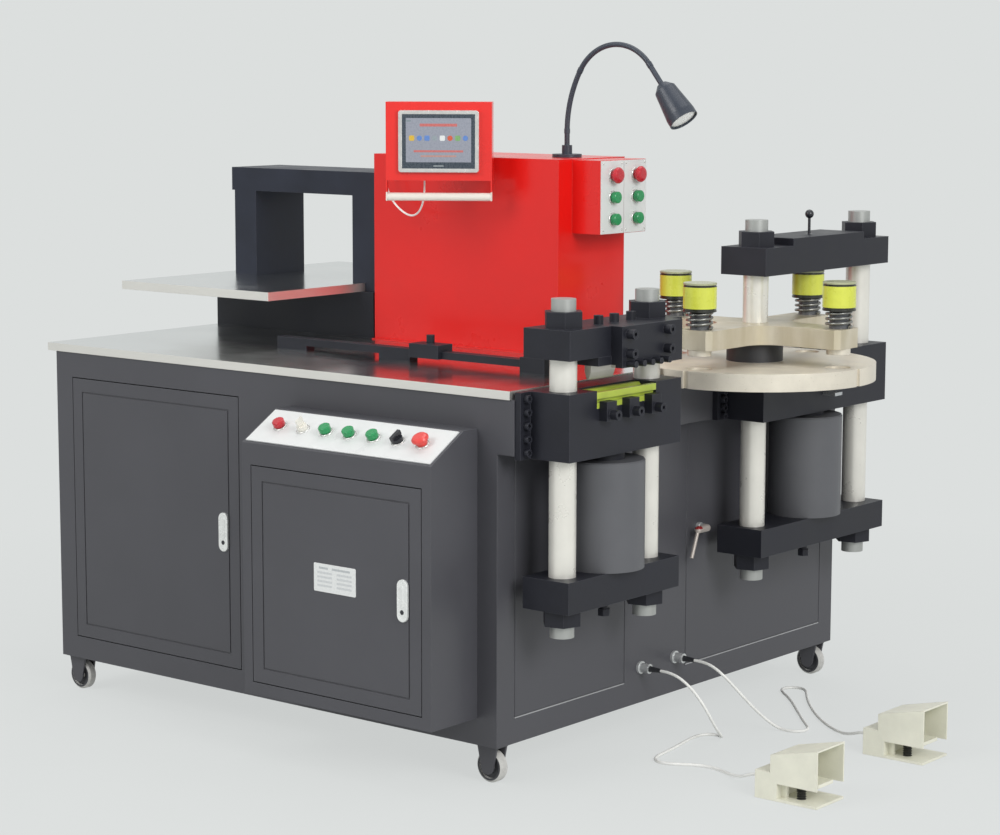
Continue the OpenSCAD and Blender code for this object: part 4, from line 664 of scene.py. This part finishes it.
# The die's lighter edges are partly wear, partly a painted highlight.
die_paint = finish("die_paint", "a9ba45", 0.34, vary=0.10, cloud=14.0, tooth=500.0, edge_wear_and_highlight="d9dfa0",
                   edge=0.0014)
dress(die_paint, "bend_die")

# %% [markdown]
# Buttons, knobs and the key switch are moulded plastic: one grain, and a different colour and gloss
# for each kind.

# %% Buttons
moulded = dict(cloud=60.0, tooth=900.0, depth=0.00004)
button_red = finish("button_red", "bf1c2c", 0.26, vary=0.06, coat=0.3, **moulded)
dress(button_red, "stop_button", "side_stop_front", "side_stop_rear")
button_coral = finish("button_coral", "e0453f", 0.30, vary=0.06, coat=0.3, **moulded)
dress(button_coral, "emergency_button")
button_green = finish("button_green", "1c8f52", 0.26, vary=0.07, coat=0.3, **moulded)
dress(button_green, "start_button_1", "start_button_2", "start_button_3", "side_green_front_upper",
      "side_green_front_lower", "side_green_rear_upper", "side_green_rear_lower")
knob_black = finish("knob_black", "1d1f26", 0.30, vary=0.12, coat=0.2, **moulded)
dress(knob_black, "selector_knob", "lift_knob")
key_ivory = finish("key_ivory", "ebe8df", 0.30, metal=0.15, vary=0.08, **moulded)
dress(key_ivory, "key_switch")

# %% [markdown]
# The panels are white film on plates, the foot switches are cast and painted cream, and the lamp is
# painted a dark blue grey. The wheels have a pale tread on a darker core; a face that looks along
# the axle belongs to the core, so this finish too reads the direction of the face.

# %% Panels, switches, lamp and wheels
panel_white = finish("panel_white", "dee0df", 0.34, vary=0.03, cloud=10.0, tooth=900.0, depth=0.00003,
                     edge=0.001)
dress(panel_white, "panel_plates")
# The pedals' lighter edges are partly wear, partly a painted highlight.
pedal_cream = finish("pedal_cream", "e6e5d5", 0.42, vary=0.06, cloud=16.0, tooth=420.0, depth=0.00014,
                     edge_wear_and_highlight="efeadb", edge=0.0016)
dress(pedal_cream, "pedal_housings", "treadle_front", "treadle_rear")
# The lamp's lighter edges are partly wear, partly a painted highlight.
lamp_paint = finish("lamp_paint", "343a45", 0.36, vary=0.10, cloud=20.0, tooth=700.0, edge_wear_and_highlight="586070",
                    edge=0.0010)
dress(lamp_paint, "work_lamp")
wheel_tread = finish("wheel_tread", "cdccc8", 0.55, vary=0.12, cloud=40.0, tooth=500.0, depth=0.0002,
                     edge=0.0012)
tree = wheel_tread.node_tree
tread_most, core_least = 0.90, 0.96
along_axle = result(tree, "ABSOLUTE", along_axis(tree, "Normal", "Y"))
recolour(wheel_tread, spread_out(tree, along_axle, tread_most, core_least, 0.0, 1.0), "3f4044")
dress(wheel_tread, "wheels_right", "wheels_left")

# %% [markdown]
# Each control stands in a bright metal rim on its plate. A rim is a turned ring with a rolled lip.
# The seven controls of the sloping panel share one direction, the six on the side pod another.

# %% Control rims
rim_metal = finish("rim_metal", "d8d7d4", 0.22, metal=0.6, vary=0.08, cloud=60.0, tooth=900.0,
                   depth=0.00002, edge=0.0)
panel_rise, panel_run = 67.0, 113.0
slope = np.arctan2(panel_rise, panel_run)
slope_out = np.array([0.0, -np.sin(slope), np.cos(slope)])
first_x, control_step, control_y, control_z = -566.0, 73.0, -104.5, 784.5
rim = [(14.9, 2.6), (14.9, 4.9), (15.4, 5.4), (16.2, 5.0), (16.9, 3.6), (17.1, 2.5)]
pod_face = corner[0] - 0.208
pod_buttons = ("side_stop_front", "side_green_front_upper", "side_green_front_lower", "side_stop_rear",
               "side_green_rear_upper", "side_green_rear_lower")
pod_middles = [(np.array(low) + np.array(high)) / 2 for low, high in map(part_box, pod_buttons)]
rims = [patch(turned(rim, place([x, control_y, control_z]), slope_out))
        for x in first_x + control_step * np.arange(7)]
rims += [patch(turned(rim, (pod_face, middle[1], middle[2]), (1, 0, 0))) for middle in pod_middles]
piece("control_rims", rims, rim_metal, "machine_frame")

# %% [markdown]
# Small flat marks share one film that takes its colour from a tint on the points, with a faint
# speckle. A field is a thin plate on a flat face: its profile steps up at the rim by a small lip and
# runs in to the middle.

# %% Tinted film and fields
tinted, tree, shader = blank("tinted_film")
tint = tree.nodes.new("ShaderNodeAttribute")
tint.attribute_name = "tint"
grain = coordinates(tree)[1]
speckle = node(tree, "ShaderNodeTexNoise", Scale=220.0, Detail=3.0)
tree.links.new(grain, speckle.inputs["Vector"])
faded, grey = by_noise(tree, speckle, 0.0, 0.04), (0.55, 0.55, 0.55)
speckled = blend_colours(tree, faded, tint.outputs["Color"], grey)
tree.links.new(speckled, shader.inputs["Base Color"])
tree.links.new(by_noise(tree, speckle, 0.22, 0.34), shader.inputs["Roughness"])
upright = np.array([0.0, 0.0, 1.0])


def field(face, x, z, size, corner_r, rise, colour, lip=0.05):
    """A thin plate whose middle is the face's middle plus x along its width and z along its height."""
    middle, wide, high, out = face
    at = middle + (x * wide + z * high) / 1000.0
    profile = [(0, 0), (0, rise - lip), (lip, rise), (min(size) / 2 - 0.01, rise)]
    return patch(framed(profile, at, wide, high, out, size, corner_r, 5), out=out, tint=linear(colour))


print("tinted film ready")

# %% [markdown]
# The display looks through a silver bezel set in the red box. The bezel is one profile carried round
# a rounded rectangle; the dark border and the lit screen lie inside it. The screen's marks are plain
# fields and dots, each with its own tint.

# %% Display
swing = np.radians(36.0)
face_away, face_high = 90.0, 1435.5
face_wide = np.array([np.cos(swing), np.sin(swing), 0.0])
face_out = np.array([np.sin(swing), -np.cos(swing), 0.0])
face_at = place(pivot + face_away * face_out + face_high * upright)
display_face = (face_at, face_wide, upright, face_out)
bezel = [(-0.3, -9.0), (-0.3, -1.0), (0.6, 0.5), (2.0, 0.9), (8.0, 0.9), (9.2, 0.5), (9.6, 0.15)]
bezel_size, bezel_corner = (199, 152), 7.0
piece("display_bezel", [patch(framed(bezel, *display_face, bezel_size, bezel_corner), out=face_out)],
      rim_metal, "screen_housing")
screen = [field(display_face, 0, 0, (181, 134), 3.0, 0.25, "36414c", 0.1),
          field(display_face, 0, 3, (161, 108), 1.5, 0.45, "9296a2", 0.1)]
marks = [(0, 40, 92, 7, "c46a66"), (0, -24, 122, 5, "c46a66"), (0, -36, 88, 4, "b98a80"),
         (-74, 50, 12, 4, "7d8a90")]
screen += [field(display_face, x, z, (w, h), 0.8, 0.55, c) for x, z, w, h, c in marks]
dots = ["d8b23a", "5f84c4", "5f84c4", "8f9aa0", "e0e3e2", "cf5a3c", "7aa86a", "5f84c4"]
first_dot, dot_step, dot_z, dot_size = -66, 18.9, 8, (13, 13)
screen += [field(display_face, first_dot + dot_step * k, dot_z, dot_size, 6.4 if k % 2 else 3.0, 0.6, c)
           for k, c in enumerate(dots)]
screen += [field(display_face, 0, -60.0, (26, 3), 1.4, 0.4, "8f979a")]
piece("display_screen", screen, tinted, "screen_housing")

# %% [markdown]
# Both doors have a flush lock: a bright capsule plate with a raised rim, a folded lever and a dark
# keyhole under it. A capsule is a rounded rectangle whose corners use up its whole width, so the same
# framed profile makes plate and lever. A bare plate with pale fields sits on the switch box's door.

# %% Locks and plate
front = np.array([0.0, -1.0, 0.0])
east = np.array([1.0, 0.0, 0.0])
lock_metal = finish("lock_metal", "eceeec", 0.28, metal=0.30, vary=0.06, cloud=40.0, tooth=800.0,
                    depth=0.00003, edge=0.0006)
lock_plate = [(-0.4, 0.0), (-0.4, 4.6), (0.4, 5.4), (2.6, 5.4), (3.4, 5.1), (14.9, 5.1)]
lever = [(0.0, 5.05), (0.0, 5.35), (0.4, 5.6), (5.9, 5.6)]
hole = [(5.4, 5.05), (5.4, 5.4), (4.6, 5.55), (3.4, 5.3), (0.01, 5.2)]
lock_size, lever_size = (30, 96), (12, 50)
lever_up, hole_down = 0.008 * upright, 0.026 * upright
for name, body, at in (("door_lock", "cabinet_door", (-862.0, 0.0, 487.0)),
                       ("box_door_lock", "switch_box_door", (-138.0, -161.0, 440.45))):
    spot = place(at)
    lock = [patch(framed(profile, middle, east, upright, front, size, size[0] / 2), out=front)
            for profile, middle, size in ((lock_plate, spot, lock_size),
                                          (lever, spot + lever_up, lever_size))]
    piece(name, lock, lock_metal, body)
    keyhole = [patch(turned(hole, spot - hole_down, front, 24), out=front)]
    piece(name + "_keyhole", keyhole, knob_black, body)
plate_face = (place([-345.0, -161.0, 460.95]), east, upright, front)
fields = [field(plate_face, 0, 0, (128.6, 65.6), 2.5, 1.9, "e3e5e4", 0.4)]
fields += [field(plate_face, x, 23, (w, 5), 0.6, 2.05, "b9bdbf") for x, w in ((-34, 28), (20, 56))]
fields += [field(plate_face, x, z, (46, 5), 0.6, 2.05, "cdd0d1")
           for x in (-30, 30) for z in (12, 2, -8, -18)]
piece("bare_plate", fields, tinted, "switch_box_door")

# %% [markdown]
# Small things that catch light make a machine look real. The two panels on the right side end in a
# lip along the bottom that catches the light; a thin pale rod in the groove is its painted highlight.
# The pod's plates are held by small domed screws. Under each treadle a ribbed rubber buffer stands on
# the base, turned from one profile.

# %% Lips, screws and buffers
# Painted highlight: a pale rod along the panels' lower lip, where it catches the light.
lip_highlight_metal = finish("lip_highlight_metal", "b9b9bb", 0.34, metal=0.6, vary=0.10, cloud=20.0, tooth=700.0, edge=0.0)
lip_x, lip_z, lip_r = -0.4, 149.6, 0.0016
lips = []
for start, stop in ((64.0, 484.0), (739.0, 1356.0)):
    rod = place([[lip_x, y, lip_z] for y in np.linspace(start, stop, 9)])
    lips.append(patch(carried(rod, lip_r, upright, 8)))
piece("panel_lip_highlights", lips, lip_highlight_metal, "machine_frame")
dome = [(2.9, 2.4), (2.9, 3.3), (2.3, 4.1), (1.2, 4.5), (0.01, 4.6)]
pod_x, pod_ys, pod_z, screw_y, screw_z = -208.0, (699.75, 793.25), 1301.5, 39.0, 82.0
screws = [patch(turned(dome, place([pod_x, y + dy, pod_z + dz]), east, 16), out=east)
          for y in pod_ys for dy in (-screw_y, screw_y) for dz in (-screw_z, screw_z)]
piece("plate_screws", screws, rim_metal, "machine_frame")
rib_step, buffer_tall, buffer_cap, buffer_r, rib_deep = 5.5, 22.0, 22.6, 9.6, 1.5
buffer_x, buffer_ys, buffer_z = 592.0, (349.0, 813.0), 6.2
rib_z = np.linspace(0.0, buffer_tall, 45)
rib_r = buffer_r + rib_deep * np.cos(2 * np.pi * rib_z / rib_step)
ribs = [(0.01, 0.0), *zip(rib_r, rib_z), (0.01, buffer_cap)]
buffer_rubber = finish("buffer_rubber", "232420", 0.55, vary=0.15, cloud=80.0, tooth=900.0, edge=0.0)
buffers = [patch(turned(ribs, place([buffer_x, y, buffer_z]), upright, 28)) for y in buffer_ys]
piece("treadle_buffers", buffers, buffer_rubber, "machine_frame")

# %% [markdown]
# The lamp's neck is a flexible metal hose: a tight coil whose turns show as fine ribs. The path is a
# short post, a wide bend, a tight bend and a straight end, and the radius swells once for each rib.
# The lens is a shallow turned dish in the mouth of the head.

# %% Lamp neck and lens
lamp_at = np.array([-374.86, 735.088, 1393.3])
wide_r, tight_r, end_long, head_long, lens_in = 300.0, 128.0, 60.0, 108.0, 6.0
hose_r, hose_rib, hose_step, hose_grain = 6.6, 0.25, 3.6, 0.8
lean = np.radians(142.0)
wide_middle, tight_middle = np.array([wide_r, 65.0]), np.array([151.044, 151.0])
bend_a = np.radians(np.linspace(180, 150, 60))
bend_b = np.radians(np.linspace(150, 38, 120))
post = np.stack([np.zeros(12), np.linspace(26, 64, 12)], -1)
wide_bend = wide_middle + wide_r * np.stack([np.cos(bend_a), np.sin(bend_a)], -1)
tight_bend = tight_middle + tight_r * np.stack([np.cos(bend_b), np.sin(bend_b)], -1)
lamp_way = np.array([np.sin(lean), np.cos(lean)])
straight = tight_bend[-1] + np.linspace(1, end_long, 20)[:, None] * lamp_way
flat_path = np.concatenate([post, wide_bend[1:], tight_bend[1:], straight])
walked = np.append(0.0, np.cumsum(np.linalg.norm(np.diff(flat_path, axis=0), axis=1)))
even = np.arange(0.0, walked[-1], hose_grain)
flat_path = np.stack([np.interp(even, walked, flat_path[:, k]) for k in (0, 1)], -1)
neck_path = place(lamp_at + np.stack([flat_path[:, 0], np.zeros(len(even)), flat_path[:, 1]], -1))
neck_radius = (hose_r + hose_rib * np.sin(2 * np.pi * even / hose_step)) / 1000.0
piece("lamp_hose", [patch(carried(neck_path, neck_radius, (0, 1, 0), 18))], lamp_paint, "work_lamp")
lens_glass = finish("lens_glass", "eef0ee", 0.16, vary=0.03, cloud=80.0, tooth=500.0, depth=0.0002,
                    edge=0.0)
mouth = tight_bend[-1] + (end_long + head_long - lens_in) * lamp_way
mouth_at = place(lamp_at + np.array([mouth[0], 0.0, mouth[1]]))
mouth_way = (lamp_way[0], 0, lamp_way[1])
lens_dish = [(34.2, 0.1), (33.0, 1.4), (26.0, 2.6), (14.0, 3.4), (0.01, 3.7)]
piece("lamp_lens", [patch(turned(lens_dish, mouth_at, mouth_way, 48), out=mouth_way)], lens_glass,
      "work_lamp")

# %% [markdown]
# The floor is a wide disc of rings, a hair below the wheels. It belongs to the stage, not to the
# machine.

# %% Floor
backdrop = linear("dcdfde")
floor_z, spokes = -0.0005, 64
radius = np.array([0.02, 1.0, 2.0, 3.0, 4.0, 6.0, 10.0, 20.0])
around = np.linspace(0, 2 * np.pi, spokes, endpoint=False)
disc = np.stack([radius[:, None] * np.cos(around), radius[:, None] * np.sin(around),
                 np.full((len(radius), spokes), floor_z)], -1)
floor_points, floor_quads, _ = patch(disc, out=(0, 0, 1))
floor_mesh = bpy.data.meshes.new("floor")
floor_mesh.from_pydata(floor_points.tolist(), [], floor_quads.tolist())
floor = bpy.data.objects.new("floor", floor_mesh)
scene.collection.objects.link(floor)
print("floor of", len(floor_quads), "faces")

# %% [markdown]
# The pale floor fades into the backdrop, so no horizon crosses the picture. Near the machine it keeps
# a share of a plain diffuse surface for a faint shadow; further out it takes the backdrop's colour for
# the camera, for mirrors and for glass.

# %% Floor finish
def seen_ray(tree):
    """One for the rays that show the backdrop: from the camera, a mirror or a glass."""
    path = tree.nodes.new("ShaderNodeLightPath")
    total = path.outputs["Is Camera Ray"]
    for name in ("Is Glossy Ray", "Is Transmission Ray"):
        total = result(tree, "MAXIMUM", total, path.outputs[name])
    return total


def mixed_surface(tree, share, first, second):
    """The first surface, mixed with the second by its share."""
    either = tree.nodes.new("ShaderNodeMixShader")
    for socket, value in zip(either.inputs, (share, first.outputs[0], second.outputs[0])):
        tree.links.new(value, socket)
    return either.outputs[0]


near, beyond, near_share = 1.0, 3.0, 0.82
pale_floor, tree, shader = blank("pale_floor")
set_values(shader, Roughness=0.9, Specular_IOR_Level=0.1)
where, grain = coordinates(tree)
dust = node(tree, "ShaderNodeTexNoise", Scale=3.0, Detail=4.0)
tree.links.new(grain, dust.inputs["Vector"])
dusty = blend_colours(tree, by_noise(tree, dust), backdrop * 0.98, backdrop * 1.02)
tree.links.new(dusty, shader.inputs["Base Color"])
glow = node(tree, "ShaderNodeEmission", Color=(*backdrop, 1.0), Strength=1.0)
far = tree.nodes.new("ShaderNodeVectorMath")
far.operation = "LENGTH"
tree.links.new(where.outputs["Object"], far.inputs[0])
fading = spread_out(tree, far.outputs["Value"], near, beyond, near_share, 1.0)
surface = mixed_surface(tree, result(tree, "MULTIPLY", fading, seen_ray(tree)), shader, glow)
tree.links.new(surface, tree.nodes["Material Output"].inputs["Surface"])
floor_mesh.materials.append(pale_floor)
print("floor fades from", near, "to", beyond, "m")

# %% [markdown]
# The backdrop's colour fills the world for the rays that show it, and a plain white sky lights the
# rest.

# %% Sky
sky = bpy.data.worlds.new("studio")
sky.use_nodes = True
scene.world = sky
tree = sky.node_tree
light = set_values(tree.nodes["Background"], Color=(1.0, 1.0, 1.0, 1.0), Strength=0.48)
shown = node(tree, "ShaderNodeBackground", Color=(*backdrop, 1.0), Strength=1.0)
surface = mixed_surface(tree, seen_ray(tree), light, shown)
tree.links.new(surface, tree.nodes["World Output"].inputs["Surface"])
print("sky", sky.name)

# %% [markdown]
# Three softboxes light the machine: one in front, a stronger one on the press side, and a weak one
# overhead.

# %% Softboxes
def softbox(name, at, aim, size, watts):
    """A square lamp at a place, turned so that it looks at a point."""
    lamp = bpy.data.lights.new(name, "AREA")
    lamp.size = size
    lamp.energy = watts
    thing = bpy.data.objects.new(name, lamp)
    back, u, v = across(np.asarray(at, float) - np.asarray(aim, float))
    turn = np.eye(4)
    turn[:3, 0], turn[:3, 1], turn[:3, 2], turn[:3, 3] = u, v, back, at
    thing.matrix_world = Matrix(turn.tolist())
    scene.collection.objects.link(thing)
    print(name, watts, "W")


softbox("front_box", at=(-1.6, -5.2, 4.2), aim=(0, 0, 0.7), size=3.0, watts=130.0)
softbox("right_box", at=(5.6, -1.8, 3.4), aim=(0, 0, 0.7), size=2.6, watts=192.0)
softbox("top_box", at=(0.0, 0.6, 5.2), aim=(0, 0, 0.8), size=3.6, watts=70.0)
